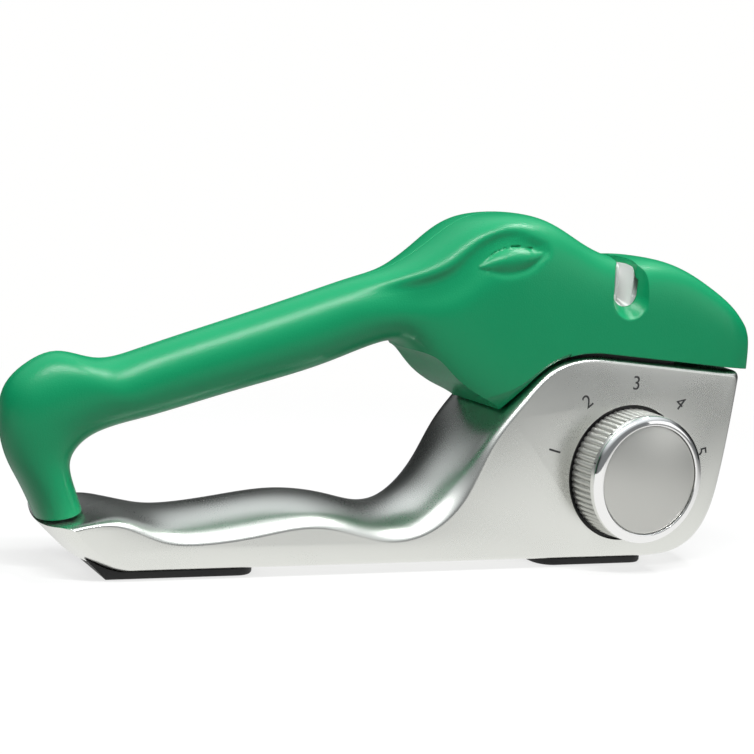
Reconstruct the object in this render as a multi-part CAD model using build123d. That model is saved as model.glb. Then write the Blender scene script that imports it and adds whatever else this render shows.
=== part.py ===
from build123d import *
import math
import os

os.makedirs("parts", exist_ok=True)

# Pull through knife sharpener with a five stop dial.
# X runs along the body towards the nose, Y across it, Z up from the table.
# X = 0 is the dial axis, Y = 0 the parting plane of the casings, Z = 0 the table.
# The dial faces -Y.

# Overall size that the outlines follow, millimetres
body_length = 240.0
body_height = 108.0
body_width = 40.0
overrun = 1.0

# Walls, joints between casings and running clearances
base_wall = 2.2
handle_wall = 2.4
casing_gap = 0.8
run_gap = 0.06
side_gap = 0.4

# Ground line of the silver casing and the rounding of its long edges
base_ground = 2.4
base_edge_radius = 1.2

# Knife slot: an outer funnel in each side, a narrower passage between them, a white guide inside
slot_x = -5.0
slot_mouth_width = 14.2
slot_throat_width = 7.6
slot_depth = 19.2
slot_funnel_rise_share = 0.7
slot_lip_back = -15.8
slot_lip_width = 18.0
slot_lip_drop = 3.0
edge_rise = 3.4
guide_cheek = 2.5
guide_width = 17.0
guide_slit_top_width = 4.6
guide_slit_low_width = 1.8
guide_slit_neck = 9.2
guide_shoulder = 2.6
guide_flange_drop = 3.2
guide_gap = 0.15

# Dial: knurled knob, chrome bezel and flat cap on a stepped shaft
dial_z = 30.0
knob_radius = 20.4
knob_rim_radius = 20.0
knob_reach = 12.6
knob_wall = 2.2
knob_recess_gap = 1.1
knob_recess_depth = 2.0
knob_floor_gap = 0.4
recess_wall = 2.0
gear_floor_gap = 0.6
knob_flutes = 66
flute_depth = 0.7
bezel_depth = 3.2
bezel_land_radius = 17.0
bezel_edge_radius = 2.1
bezel_dish = 0.45
bevel_share = 0.293
bezel_lip = 2.0
knob_screw_length = 9.0
cap_thickness = 1.6
cap_gap = 0.15
hub_radius = 7.0
shaft_radius = 4.0
shaft_tail_radius = 2.5
shaft_groove_depth = 0.8
bushing_wall = 1.6
bushing_flange_thickness = 0.6
clip_thickness = 0.8
clip_radius = 6.5
spigot_gap = 2.4
spigot_length = 5.6
spigot_root = 2.4

# Gear train from the dial to the drum
dial_teeth = 27
idler_teeth = 22
drum_teeth = 15
train_bend_share = 0.984
root_share = 1.25
pressure_angle = 20.0
gear_width = 4.0
gear_backlash = 0.16
flank_points = 4
idler_pin_radius = 2.0
idler_bush_wall = 1.0

# Sharpening drum with five V notches, one for each stop of the dial
stage_count = 5
drum_radius = 18.0
drum_length = 19.6
well_gap = 1.5
well_half = 17.2
collar_wall = 1.6
collar_low = 60.0
collar_height = 8.5
collar_gap = 0.7
drum_hub_radius = 4.6
drum_pin_radius = 2.5
notch_half_angle = 22.0
notch_root_radius = 7.6
notch_floor_half = 0.6
rod_radius = 1.5
rod_half_angle = 20.0
rod_cross_radius = 6.1
rod_length = 11.5
rod_foot = 1.0
rod_pitch = 3.4
rod_count = 2
fine_rod_radius = 1.1
rod_gap = 0.04
end_cover_thickness = 2.0
blade_thickness = 1.2
blade_width = 3.0
drum_clip_radius = 4.0
cradle_thickness = 2.0
cradle_cheek_radius = 8.0
cradle_cheek_half = 13.0
cradle_reach = 22.0
cradle_floor_gap = 1.2
shelf_height = 4.5
shelf_length = 7.0
cradle_screw_inset = 2.6
cradle_screw_y = 7.0

# Index plate and its leaf spring
stop_angle = 40.0
index_radius = 10.5
index_width = 3.0
index_front = 3.0
index_notch_radius = 1.9
index_notch_out = 0.4
spring_thickness = 0.5
spring_bead_radius = 1.5
spring_reach = 22.0
spring_foot_gap = 1.0
post_width = 3.5
post_height = 8.0
journal_boss_radius = 5.0
journal_length = 6.5
journal_gap = 3.0

# Screws and their bosses
screw_radius = 1.4
screw_head_radius = 2.7
screw_head_height = 1.8
boss_radius = 3.2
boss_gap = 0.1
press_gap = 0.02
cradle_screw_length = 6.5
spring_screw_length = 5.0
screw_cross_length = 2.6
screw_cross_width = 0.7

# Rubber foot pads
pad_width = 34.0
pad_corner_radius = 6.0
pad_sink = 0.8
pad_gap = 0.15

# Side outline of the base as shares of length and height: near the flat sides, then on the ridge
top_side_shares = [
    (-0.7458, 0.1450), (-0.6875, 0.1593), (-0.6271, 0.1148), (-0.5792, 0.1083), (-0.5125, 0.1259),
    (-0.4417, 0.1463), (-0.3833, 0.1241), (-0.3354, 0.1037), (-0.2833, 0.1315), (-0.2467, 0.2037),
    (-0.2104, 0.3639), (-0.1654, 0.4944), (-0.1292, 0.5750), (-0.0917, 0.6074), (-0.0500, 0.6130),
]
top_ridge_shares = [
    (-0.7667, 0.1340), (-0.6900, 0.1740), (-0.6292, 0.1593), (-0.5875, 0.1602), (-0.5167, 0.1815),
    (-0.4458, 0.1963), (-0.3875, 0.1815), (-0.3396, 0.1611), (-0.2938, 0.1815), (-0.2592, 0.2556),
    (-0.2142, 0.3694), (-0.1667, 0.4963), (-0.1292, 0.5750), (-0.0917, 0.6074), (-0.0500, 0.6130),
]
front_side_shares = [
    (0.1683, 0.5806), (0.1530, 0.2600), (0.1400, 0.1440), (0.1190, 0.0750), (0.0870, 0.0350),
]
front_ridge_shares = [
    (0.1850, 0.5806), (0.1700, 0.2600), (0.1560, 0.1440), (0.1320, 0.0750), (0.0960, 0.0350),
]
heel_share = 0.0460
toe_side_share = -0.6640
toe_ridge_share = -0.7020
bow_side_shares = [(-0.6850, 0.0310), (-0.7080, 0.0580), (-0.7310, 0.0990)]
bow_ridge_shares = [(-0.7180, 0.0410), (-0.7350, 0.0720), (-0.7530, 0.1100)]
station_shares = [0.0, 0.35, 0.65, 0.85, 1.0]
end_pull_shares = [0.35, 1.0]

# Handle stations from the leg to the nose as shares: outer point, inner point, half width, fullness of
# the outer and of the inner curves
handle_shares = [
    (-0.7640, 0.1300, -0.7060, 0.1300, 0.480, 0.58, 0.58),
    (-0.7850, 0.2222, -0.7183, 0.2083, 0.490, 0.58, 0.58),
    (-0.8013, 0.2963, -0.7242, 0.2731, 0.500, 0.58, 0.58),
    (-0.8083, 0.3843, -0.7175, 0.3148, 0.520, 0.58, 0.58),
    (-0.8033, 0.4676, -0.7042, 0.3426, 0.540, 0.58, 0.58),
    (-0.7800, 0.5278, -0.6875, 0.3620, 0.550, 0.58, 0.58),
    (-0.7433, 0.5620, -0.6667, 0.3778, 0.540, 0.58, 0.58),
    (-0.6992, 0.5472, -0.6475, 0.3898, 0.515, 0.58, 0.58),
    (-0.6521, 0.5704, -0.6250, 0.4037, 0.495, 0.58, 0.58),
    (-0.5546, 0.6481, -0.5271, 0.4704, 0.495, 0.58, 0.58),
    (-0.4329, 0.7454, -0.4042, 0.5574, 0.510, 0.58, 0.58),
    (-0.3700, 0.7944, -0.3438, 0.6111, 0.560, 0.62, 0.62),
    (-0.3250, 0.8324, -0.3125, 0.6100, 0.650, 0.70, 0.70),
    (-0.2833, 0.8944, -0.2850, 0.5400, 0.815, 0.78, 0.80),
    (-0.2396, 0.9648, -0.2396, 0.4500, 0.950, 0.84, 0.90),
    (-0.1917, 0.9944, -0.1938, 0.3900, 1.000, 0.88, 0.94),
    (-0.1333, 0.9907, -0.1417, 0.3800, 1.000, 0.88, 0.94),
    (-0.0750, 0.9389, -0.0750, 0.4200, 1.000, 0.90, 0.94),
    (-0.0250, 0.9065, -0.0250, 0.4600, 1.000, 0.94, 0.94),
    (0.0250, 0.9037, 0.0250, 0.4700, 1.000, 0.94, 0.94),
    (0.0750, 0.8824, 0.0750, 0.4700, 1.000, 0.94, 0.94),
    (0.1208, 0.8333, 0.1208, 0.4700, 1.000, 0.94, 0.94),
    (0.1563, 0.7852, 0.1563, 0.4700, 0.970, 0.94, 0.94),
    (0.1792, 0.7463, 0.1792, 0.4700, 0.870, 0.92, 0.92),
    (0.1942, 0.7074, 0.1942, 0.4800, 0.700, 0.90, 0.90),
    (0.2013, 0.6667, 0.2013, 0.4900, 0.475, 0.88, 0.88),
]
hollow_stations = 24
slot_top_share = 0.9056

# Underside of the belly, and the lower edge of each side face above its turned-in band
belly_floor_shares = [
    (-0.3667, 0.5556), (-0.3333, 0.5981), (-0.3083, 0.6037), (-0.2833, 0.5870), (-0.2683, 0.5583),
    (-0.2488, 0.5213), (-0.2296, 0.4954), (-0.2108, 0.4750), (-0.1917, 0.4537), (-0.1750, 0.4167),
]
belly_edge_shares = [
    (-0.3500, 0.6620), (-0.3200, 0.6352), (-0.2900, 0.5824), (-0.2579, 0.5343), (-0.2217, 0.5102),
    (-0.1867, 0.5176), (-0.1575, 0.5537), (-0.1300, 0.5963), (-0.1042, 0.6204),
]
belly_slope_share = 1.3
belly_depth = 8.0

# Thumb rest on each side of the head: a swept groove under the crest and an almond with a swell
groove_shares = [
    (-0.3483, 0.7583, 0.600), (-0.2988, 0.7824, 0.755), (-0.2621, 0.8296, 0.865),
    (-0.2308, 0.8898, 0.890), (-0.1925, 0.9250, 0.880), (-0.1508, 0.9056, 0.930),
]
groove_radius = 2.4
groove_bite = 1.1
almond_left_share = (-0.2338, 0.8620)
almond_right_share = (-0.1550, 0.8981)
almond_top_share = (-0.1980, 0.9120)
almond_low_share = (-0.1880, 0.8500)
almond_sink = 2.6
almond_swell = 1.5
almond_fill_share = 0.93

# Screw places as shares of length, height and half the width
handle_screw_shares = [
    (-0.7300, 0.4400, 0.54), (-0.5408, 0.5593, 0.49), (-0.3569, 0.7028, 0.56), (-0.1667, 0.8150, 1.0),
    (0.1250, 0.7000, 1.0),
]
base_screw_shares = [
    (-0.6790, 0.0850, 1.0), (-0.4420, 0.0830, 1.0), (-0.2500, 0.0800, 1.0), (-0.1330, 0.3700, 1.0),
    (0.1125, 0.1250, 1.0), (0.1375, 0.5000, 1.0),
]
screw_sink = 3.2
screw_end_gap = 5.0

# Foot pads as shares of the length
tail_pad_shares = (-0.7190, -0.5060)
head_pad_shares = (-0.1125, 0.0540)
pad_step = 2.5
pad_lift = 4.0
pad_toe = 6.1
pad_toe_height = 5.4

# Places worked out from the sizes above
half_width = body_width / 2
slot_top = slot_top_share * body_height
slot_floor = slot_top - slot_depth
drum_x = slot_x
edge_z = slot_floor + edge_rise
drum_z = edge_z - rod_cross_radius - rod_radius / math.sin(math.radians(rod_half_angle))
train_span = math.hypot(drum_x, drum_z - dial_z)
gear_module = train_span / (train_bend_share * (dial_teeth / 2 + idler_teeth + drum_teeth / 2))
drive_pitch = gear_module * dial_teeth / 2
idler_pitch = gear_module * idler_teeth / 2
drum_pitch = gear_module * drum_teeth / 2
first_reach = drive_pitch + idler_pitch
second_reach = idler_pitch + drum_pitch
along_train = (first_reach ** 2 - second_reach ** 2 + train_span ** 2) / (2 * train_span)
beside_train = math.sqrt(first_reach ** 2 - along_train ** 2)
train_angle = math.atan2(drum_z - dial_z, drum_x)
idler_x = along_train * math.cos(train_angle) + beside_train * math.sin(train_angle)
idler_z = dial_z + along_train * math.sin(train_angle) - beside_train * math.cos(train_angle)

recess_radius = knob_radius + knob_recess_gap
recess_floor = knob_recess_depth - half_width
recess_inside = recess_floor + recess_wall
knob_back = recess_floor - bushing_flange_thickness - knob_floor_gap
knob_rim = -half_width - knob_reach
knob_front = knob_rim + bezel_depth
shaft_front = knob_front + knob_wall
gear_front = recess_inside + gear_floor_gap
gear_back = gear_front + gear_width
cheek_front = gear_back + clip_thickness
drum_front = cheek_front + cradle_thickness + side_gap
drum_back = drum_front + drum_length
cheek_back = drum_back + side_gap
drum_middle = (drum_front + drum_back) / 2
cradle_top = drum_z - drum_radius - cradle_floor_gap
cradle_under = cradle_top - cradle_thickness
cradle_back = cheek_back + cradle_thickness
index_back = index_front + index_width
inner_half = half_width - base_wall


def at(point):
    """A point of an outline from its shares of length and height."""
    return (point[0] * body_length, point[1] * body_height)


def grown(points, distance):
    """A closed outline, run clockwise, moved outwards by a distance."""
    moved = []
    for i, here in enumerate(points):
        before = points[i - 1]
        after = points[(i + 1) % len(points)]
        a = (here[0] - before[0], here[1] - before[1])
        b = (after[0] - here[0], after[1] - here[1])
        na = (-a[1] / math.hypot(*a), a[0] / math.hypot(*a))
        nb = (-b[1] / math.hypot(*b), b[0] / math.hypot(*b))
        reach = distance / (1 + na[0] * nb[0] + na[1] * nb[1])
        moved.append((here[0] + reach * (na[0] + nb[0]), here[1] + reach * (na[1] + nb[1])))
    return moved


def plane_at(y):
    """The XZ plane moved to a place along Y."""
    return Plane.XZ.offset(-y)


def prism(face, y_low, y_high):
    """A face drawn in X and Z, made solid between two places along Y."""
    return extrude(plane_at(y_high) * face, amount=y_high - y_low)


def bar(x, z, radius, y_low, y_high):
    """A round bar along Y."""
    return prism(Pos(x, z) * Circle(radius), y_low, y_high)


def tube(x, z, outer, inner, y_low, y_high):
    """A round tube along Y."""
    return prism(Pos(x, z) * (Circle(outer) - Circle(inner)), y_low, y_high)


def block(x_low, x_high, y_low, y_high, z_low, z_high):
    """A block between two corners."""
    size = (x_high - x_low, y_high - y_low, z_high - z_low)
    return Pos((x_low + x_high) / 2, (y_low + y_high) / 2, (z_low + z_high) / 2) * Box(*size)


def bar_x(x_low, x_high, y, z, radius):
    """A round bar along X."""
    return Pos((x_low + x_high) / 2, y, z) * Rot(0, 90, 0) * Cylinder(radius, x_high - x_low)


def dial_side(shape):
    """The part of a shape on the dial side of the parting plane."""
    return shape & block(-body_length, body_length, -body_width, 0, -body_height, 2 * body_height)


def base_section(y, grow):
    """Outline of the base at a place across it, grown by a distance."""
    ridge = max(0.0, 1 - (2 * y / body_width) ** 2)

    def mix(side, crest):
        """Points between the side outline and the ridge outline."""
        pairs = zip(map(at, side), map(at, crest))
        return [(s[0] + ridge * (c[0] - s[0]), s[1] + ridge * (c[1] - s[1])) for s, c in pairs]

    top = mix(top_side_shares, top_ridge_shares)
    front = mix(front_side_shares, front_ridge_shares)
    bow = mix(bow_side_shares, bow_ridge_shares)
    toe_x = body_length * (toe_side_share + ridge * (toe_ridge_share - toe_side_share))
    ground = [(body_length * heel_share, base_ground), (toe_x, base_ground)]
    loop = grown(top + front + ground + bow, grow)
    n_top = len(top)
    n_front = n_top + len(front)
    last = loop[n_top - 1]
    nose = loop[n_top]
    along = (nose[0] - last[0], nose[1] - last[1])
    ends = [(along[0], -along[1]), along]
    edges = [
        Spline(*loop[:n_top], tangents=ends, tangent_scalars=end_pull_shares),
        Line(last, nose),
        Spline(*loop[n_top:n_front + 1]),
        Line(loop[n_front], loop[n_front + 1]),
        Spline(*loop[n_front + 1:], loop[0]),
    ]
    return plane_at(y) * make_face(Curve() + edges)


def base_body(grow):
    """Half of the base on the dial side as a solid with a crowned top, grown by a distance."""
    half = half_width + grow
    return loft([base_section(-half * share, grow) for share in station_shares])


def handle_section(row, shrink, lift):
    """Half outline across the handle at one station, shrunk by a distance and past the middle by a lift."""
    outer = at(row[0:2])
    inner = at(row[2:4])
    rise = Vector(outer[0] - inner[0], 0, outer[1] - inner[1])
    h = rise.length / 2 - shrink
    w = row[4] * half_width - shrink
    upper = row[5]
    lower = row[6]
    middle = Vector((outer[0] + inner[0]) / 2, 0, (outer[1] + inner[1]) / 2)
    plane = Plane(origin=middle, x_dir=(0, 1, 0), z_dir=Vector(0, 1, 0).cross(rise))
    edges = [
        Bezier((lift, -h), (-lower * w, -h), (-w, -lower * h), (-w, 0)),
        Bezier((-w, 0), (-w, upper * h), (-upper * w, h), (lift, h)),
        Line((lift, h), (lift, -h)),
    ]
    return plane * make_face(Curve() + edges)


def under(edge, low):
    """The region under a curve, down to a level."""
    sides = Polyline(edge[-1], (edge[-1][0], low), (edge[0][0], low), edge[0])
    return make_face(Curve() + [Spline(*edge), sides])


def belly_cut(inset):
    """What the handle lacks under its belly on the dial side, moved into the handle by a wall."""
    floor = [(x, z + inset) for x, z in map(at, belly_floor_shares)]
    shape = prism(under(floor, 0), -body_width, overrun)
    planes = []
    for depth in (-overrun, belly_depth + inset):
        drop = depth * belly_slope_share - inset
        edge = [(x, z - drop) for x, z in map(at, belly_edge_shares)]
        planes.append(plane_at(depth - half_width) * under(edge, -body_height))
    return shape, loft(planes, ruled=True)


def handle_solid(shrink, rows):
    """The handle on the dial side as a solid, shrunk by a distance, with its belly trimmed."""
    first = Pos(0, 0, -min(shrink, overrun)) * handle_section(rows[0], shrink, overrun)
    body = dial_side(loft([first] + [handle_section(row, shrink, overrun) for row in rows[1:]]))
    for cut in belly_cut(shrink):
        body -= cut
    return body


def head_seat():
    """What the handle lacks under the head, a gap above the straight top line of the base."""
    start = at(top_side_shares[-1])
    end = at(front_side_shares[0])
    reach = body_length / 2
    fall = (end[1] - start[1]) / (end[0] - start[0])
    near = start[1] + casing_gap
    far = near + fall * (reach - start[0])
    corners = Polyline((start[0], near), (reach, far), (reach, 0), (start[0], 0), close=True)
    return prism(make_face(corners), -body_width, body_width)


def slot_cut():
    """The funnel in the dial side of the head, and the passage over the guide."""
    narrowing = (slot_mouth_width - slot_throat_width) / (slot_lip_back + half_width)
    outlines = []
    for y in (-half_width - overrun, slot_lip_back):
        depth = y + half_width
        radius = (slot_mouth_width - narrowing * depth) / 2
        level = slot_floor + slot_funnel_rise_share * depth + radius
        top = level + body_height / 2
        left = slot_x - radius
        right = slot_x + radius
        edges = [
            Line((left, top), (left, level)),
            ThreePointArc((left, level), (slot_x, level - radius), (right, level)),
            Line((right, level), (right, top)),
            Line((right, top), (left, top)),
        ]
        outlines.append(plane_at(y) * make_face(Curve() + edges))
    throat = slot_throat_width / 2
    x_range = (slot_x - throat, slot_x + throat)
    low = slot_floor + slot_funnel_rise_share * (slot_lip_back + half_width) + throat
    passage = block(*x_range, slot_lip_back - overrun, overrun, low, 2 * body_height)
    return loft(outlines, ruled=True) + passage


def thumb_rest():
    """What the thumb rest takes off the dial side of the head, and the swell inside it."""
    lift = groove_radius - groove_bite
    points = [(x * body_length, -lift - y * half_width, z * body_height) for x, z, y in groove_shares]
    path = Spline(*points)
    start = Plane(origin=path @ 0, z_dir=path % 0)
    groove = sweep(start * Circle(groove_radius), path=path)
    left = at(almond_left_share)
    right = at(almond_right_share)
    upper = ThreePointArc(left, at(almond_top_share), right)
    lower = ThreePointArc(right, at(almond_low_share), left)
    outline = make_face(Curve() + [upper, lower])
    floor = almond_sink - half_width
    pocket = prism(outline, -half_width - overrun, floor)
    half_chord = math.hypot(right[0] - left[0], right[1] - left[1]) / 2
    radius = (half_chord ** 2 + almond_swell ** 2) / (2 * almond_swell)
    middle = ((left[0] + right[0]) / 2, (left[1] + right[1]) / 2)
    ball = Pos(middle[0], floor - almond_swell + radius, middle[1]) * Sphere(radius)
    filling = Pos(*middle) * scale(Pos(-middle[0], -middle[1]) * outline, almond_fill_share)
    return groove + pocket, ball & prism(filling, -half_width, floor + overrun)


def screw(length):
    """A pan head screw along +Z with its head below Z = 0."""
    shank = Pos(0, 0, length / 2) * Cylinder(screw_radius, length)
    head = Pos(0, 0, -screw_head_height / 2) * Cylinder(screw_head_radius, screw_head_height)
    bar_one = Box(screw_cross_length, screw_cross_width, screw_head_height)
    bar_two = Box(screw_cross_width, screw_cross_length, screw_head_height)
    return shank + head - Pos(0, 0, -screw_head_height) * (bar_one + bar_two)


def casing_screws(places, name):
    """The screws that hold two halves of a casing together, entered from the rear."""
    group = []
    for x, z, width in places:
        seat = width * half_width - screw_sink
        length = seat + width * half_width - screw_end_gap
        group.append(Pos(x * body_length, seat, z * body_height) * Rot(90, 0, 0) * screw(length))
    group = Compound(children=group)
    group.label = name
    return group


def front_bosses(shell, solid, places):
    """A shell on the dial side with its blind screw bosses."""
    for x, z, width in places:
        place = (x * body_length, z * body_height)
        deepest = screw_end_gap - width * half_width - overrun
        shell += bar(*place, boss_radius, -width * half_width, 0) & solid
        shell -= bar(*place, screw_radius + press_gap, deepest, overrun)
    return shell


def rear_bosses(shell, solid, places):
    """A rear shell with its screw bosses, bored through and sunk for the heads."""
    for x, z, width in places:
        place = (x * body_length, z * body_height)
        seat = width * half_width - screw_sink
        shell += bar(*place, boss_radius, 0, width * half_width) & solid
        shell -= bar(*place, screw_radius + press_gap, -overrun, seat + overrun)
        shell -= bar(*place, screw_head_radius + boss_gap, seat, half_width + overrun)
    return shell


def gear(teeth, phase, x, z):
    """An involute spur gear with backlash, its first tooth at a phase in radians."""
    pitch = gear_module * teeth / 2
    base = pitch * math.cos(math.radians(pressure_angle))
    tip = pitch + gear_module
    root = pitch - gear_module * root_share
    start = max(base, root)
    involute = math.tan(math.radians(pressure_angle)) - math.radians(pressure_angle)
    half_tooth = math.pi / (2 * teeth) - gear_backlash / (2 * pitch) + involute
    flank = []
    for step in range(flank_points):
        radius = start + (tip - start) * step / (flank_points - 1)
        turn = math.acos(base / radius)
        flank.append((radius, half_tooth - math.tan(turn) + turn))

    def polar(radius, angle):
        """A point from its radius and angle."""
        return (radius * math.cos(angle), radius * math.sin(angle))

    edges = []
    for tooth in range(teeth):
        middle = phase + tooth * 2 * math.pi / teeth
        following = middle + 2 * math.pi / teeth
        rising = [polar(radius, middle - angle) for radius, angle in flank]
        falling = [polar(radius, middle + angle) for radius, angle in reversed(flank)]
        foot_in = polar(root, middle - flank[0][1])
        foot_out = polar(root, middle + flank[0][1])
        next_foot = polar(root, following - flank[0][1])
        if start > root:
            edges += [Line(foot_in, rising[0]), Line(falling[-1], foot_out)]
        edges += [Spline(*rising), Line(rising[-1], falling[0]), Spline(*falling)]
        edges.append(Line(foot_out, next_foot))
    return prism(Pos(x, z) * make_face(Curve() + edges), gear_front, gear_back)


def meshed(phase, teeth, angle, other_teeth):
    """The phase of a gear that meshes with one of a known phase, in the direction of an angle."""
    part = ((angle - phase) * teeth / (2 * math.pi)) % 1.0
    return angle + math.pi - (0.5 - part) * 2 * math.pi / other_teeth


def stage_turn(stage):
    """Angle of a stage on the drum in degrees, the middle stage at the top."""
    return (stage - (stage_count - 1) / 2) * 360 / stage_count


def on_drum(shape, stage):
    """A shape drawn for the top of the drum, turned to its stage and put in place."""
    return Pos(drum_x, drum_middle, drum_z) * Rot(0, stage_turn(stage), 0) * shape


def stage_bars(side, count, profile):
    """Bars that lean to one side of the notch, on every other place along the drum."""
    bars = []
    for i in range(count):
        y = (2 * i - count + 1 - side / 2) * rod_pitch
        lean = Rot(0, side * rod_half_angle, 0)
        bars.append(Pos(0, y, rod_cross_radius) * lean * Pos(0, 0, rod_length / 2 - rod_foot) * profile)
    return bars


def notch(depth_radius):
    """The V notch of one stage, drawn for the top of the drum."""
    reach = drum_radius + overrun
    spread = math.tan(math.radians(notch_half_angle))
    low = notch_floor_half
    high = low + spread * (reach - depth_radius)
    corners = Polyline((-low, depth_radius), (low, depth_radius), (high, reach), (-high, reach), close=True)
    return prism(make_face(corners), -drum_length, drum_length)


# Casings: base halves
base_dial_side = base_body(0)
long_edges = base_dial_side.faces().sort_by(Axis.Y)[0].edges()
base_dial_side = fillet(long_edges, base_edge_radius)
base_hollow = base_body(-base_wall)
base_half = base_dial_side - base_hollow

well_x = drum_radius + well_gap
opening = block(drum_x - well_x, drum_x + well_x, -well_half, overrun, idler_z, 2 * body_height)
collar_x = well_x + collar_wall
collar_y = half_width - handle_wall - collar_gap
collar = block(drum_x - collar_x, drum_x + collar_x, -collar_y, 0, collar_low, collar_low + collar_height)
leg_foot = at(((handle_shares[0][0] + handle_shares[0][2]) / 2, handle_shares[0][1]))
spigot_x = (handle_shares[0][2] - handle_shares[0][0]) * body_length / 2 - handle_wall - spigot_gap
spigot_y = handle_shares[0][4] * half_width - handle_wall - spigot_gap
spigot_start = Pos(leg_foot[0], 0, leg_foot[1] - spigot_root)
spigot = extrude(spigot_start * Ellipse(spigot_x, spigot_y), amount=spigot_length + spigot_root)
base_skin = base_half + dial_side(spigot)
base_skin -= opening
base_skin += collar - opening


def pad_shape(reach_shares, inset, low, high):
    """The outline of a foot pad in plan, set in by a distance, made solid between two levels."""
    x_low = reach_shares[0] * body_length + inset
    x_high = reach_shares[1] * body_length - inset
    plan = RectangleRounded(x_high - x_low, pad_width - 2 * inset, pad_corner_radius - inset)
    return Pos((x_low + x_high) / 2, 0, low) * extrude(plan, amount=high - low)


for shares in (tail_pad_shares, head_pad_shares):
    base_skin -= pad_shape(shares, pad_step - pad_gap, 0, base_ground + pad_sink)

front = dial_side(base_skin)
front -= bar(0, dial_z, recess_radius, -half_width - overrun, recess_floor)
front += bar(0, dial_z, recess_radius + recess_wall, recess_floor, recess_inside) & base_dial_side
front = front_bosses(front, base_dial_side, base_screw_shares)
front += bar(idler_x, idler_z, idler_pin_radius + base_wall, -inner_half, recess_inside)
front -= bar(idler_x, idler_z, idler_pin_radius + press_gap, -inner_half, recess_inside + overrun)
front -= bar(0, dial_z, shaft_radius + bushing_wall + press_gap, -half_width, recess_inside + overrun)
shelf_x = (drum_x - cradle_reach, drum_x + cradle_reach)
shelf_z = (cradle_under - shelf_height, cradle_under)
front += block(shelf_x[0], shelf_x[0] + shelf_length, -inner_half, 0, *shelf_z)
front += block(idler_x + idler_pitch + 2 * gear_module, shelf_x[1] + overrun, -inner_half, 0, *shelf_z)
export_step(front, "parts/base_shell_front.step")

rear = mirror(base_skin, Plane.XZ)
rear_solid = mirror(base_dial_side, Plane.XZ)
rear = rear_bosses(rear, rear_solid, base_screw_shares)
rear += bar(0, dial_z, journal_boss_radius, index_back + journal_gap, inner_half)
rear -= bar(0, dial_z, shaft_tail_radius + run_gap, 0, index_back + journal_gap + journal_length)
rear += block(shelf_x[0], shelf_x[0] + shelf_length, 0, inner_half, *shelf_z)
rear += block(shelf_x[1] - shelf_length, shelf_x[1], 0, inner_half, *shelf_z)
cradle_screw_x = (shelf_x[0] + cradle_screw_inset, shelf_x[1] - cradle_screw_inset)
pilot = Cylinder(screw_radius + press_gap, cradle_screw_length)
for x in cradle_screw_x:
    rear -= Pos(x, cradle_screw_y, cradle_under - cradle_screw_length / 2) * pilot
bead_x = index_radius + index_notch_out
strip_x = bead_x + spring_bead_radius
spring_y = (index_front + index_back) / 2
post_x = (strip_x, strip_x + post_width)
post_z = dial_z - spring_reach
post = block(*post_x, index_front, inner_half, post_z - post_height / 2, post_z + post_height / 2)
post -= bar_x(strip_x - overrun, post_x[1] + overrun, spring_y, post_z, screw_radius + press_gap)
rear += post
export_step(rear, "parts/base_shell_rear.step")

# Casings: handle halves
handle_dial_side = handle_solid(0, handle_shares)
handle_hollow = handle_solid(handle_wall, handle_shares[:hollow_stations])
base_room = base_body(casing_gap)
head_room = head_seat()
cut, swell = thumb_rest()
handle_skin = handle_dial_side - handle_hollow
lip_x = (slot_x - slot_lip_width / 2, slot_x + slot_lip_width / 2)
lip = block(*lip_x, -half_width, slot_lip_back, slot_floor - slot_lip_drop, slot_top)
handle_skin += lip & handle_dial_side
handle_skin -= slot_cut()
handle_skin -= cut
handle_skin += swell
handle_skin -= base_room
handle_skin -= head_room
front = front_bosses(handle_skin, handle_dial_side, handle_screw_shares)
export_step(front, "parts/handle_shell_front.step")
rear = rear_bosses(mirror(handle_skin, Plane.XZ), mirror(handle_dial_side, Plane.XZ), handle_screw_shares)
export_step(rear, "parts/handle_shell_rear.step")

export_step(casing_screws(base_screw_shares, "base_screws"), "parts/base_screws.step")
export_step(casing_screws(handle_screw_shares, "handle_screws"), "parts/handle_screws.step")

# White guide under the knife slot: two cheeks, a flange below the head and rails in the slot
guide_low = edge_z - guide_cheek / 2
guide_top = slot_top - guide_flange_drop
cheek_out = -slot_lip_back - side_gap
ridge_half = slot_throat_width / 2 - guide_gap
guide_x = (slot_x - guide_width / 2, slot_x + guide_width / 2)
guide = block(*guide_x, -cheek_out, cheek_out, guide_low, guide_top - handle_wall / 2)
shoulders = guide.faces().sort_by(Axis.Z)[-1].edges().filter_by(Axis.X)
guide = chamfer(shoulders, guide_shoulder)
ridge_x = (slot_x - ridge_half, slot_x + ridge_half)
guide += block(*ridge_x, -cheek_out, cheek_out, guide_low, guide_top + handle_wall / 2)
guide -= bar(drum_x, drum_z, drum_radius + well_gap / 2, guide_cheek - cheek_out, cheek_out - guide_cheek)
slit = make_face(Polyline(
    (slot_x - guide_slit_low_width / 2, guide_low + guide_cheek / 2 - side_gap),
    (slot_x + guide_slit_low_width / 2, guide_low + guide_cheek / 2 - side_gap),
    (slot_x + guide_slit_top_width / 2, edge_z + guide_slit_neck),
    (slot_x + guide_slit_top_width / 2, body_height),
    (slot_x - guide_slit_top_width / 2, body_height),
    (slot_x - guide_slit_top_width / 2, edge_z + guide_slit_neck),
    close=True,
))
guide -= prism(slit, -half_width, half_width)
export_step(guide, "parts/slot_guide.step")

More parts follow.
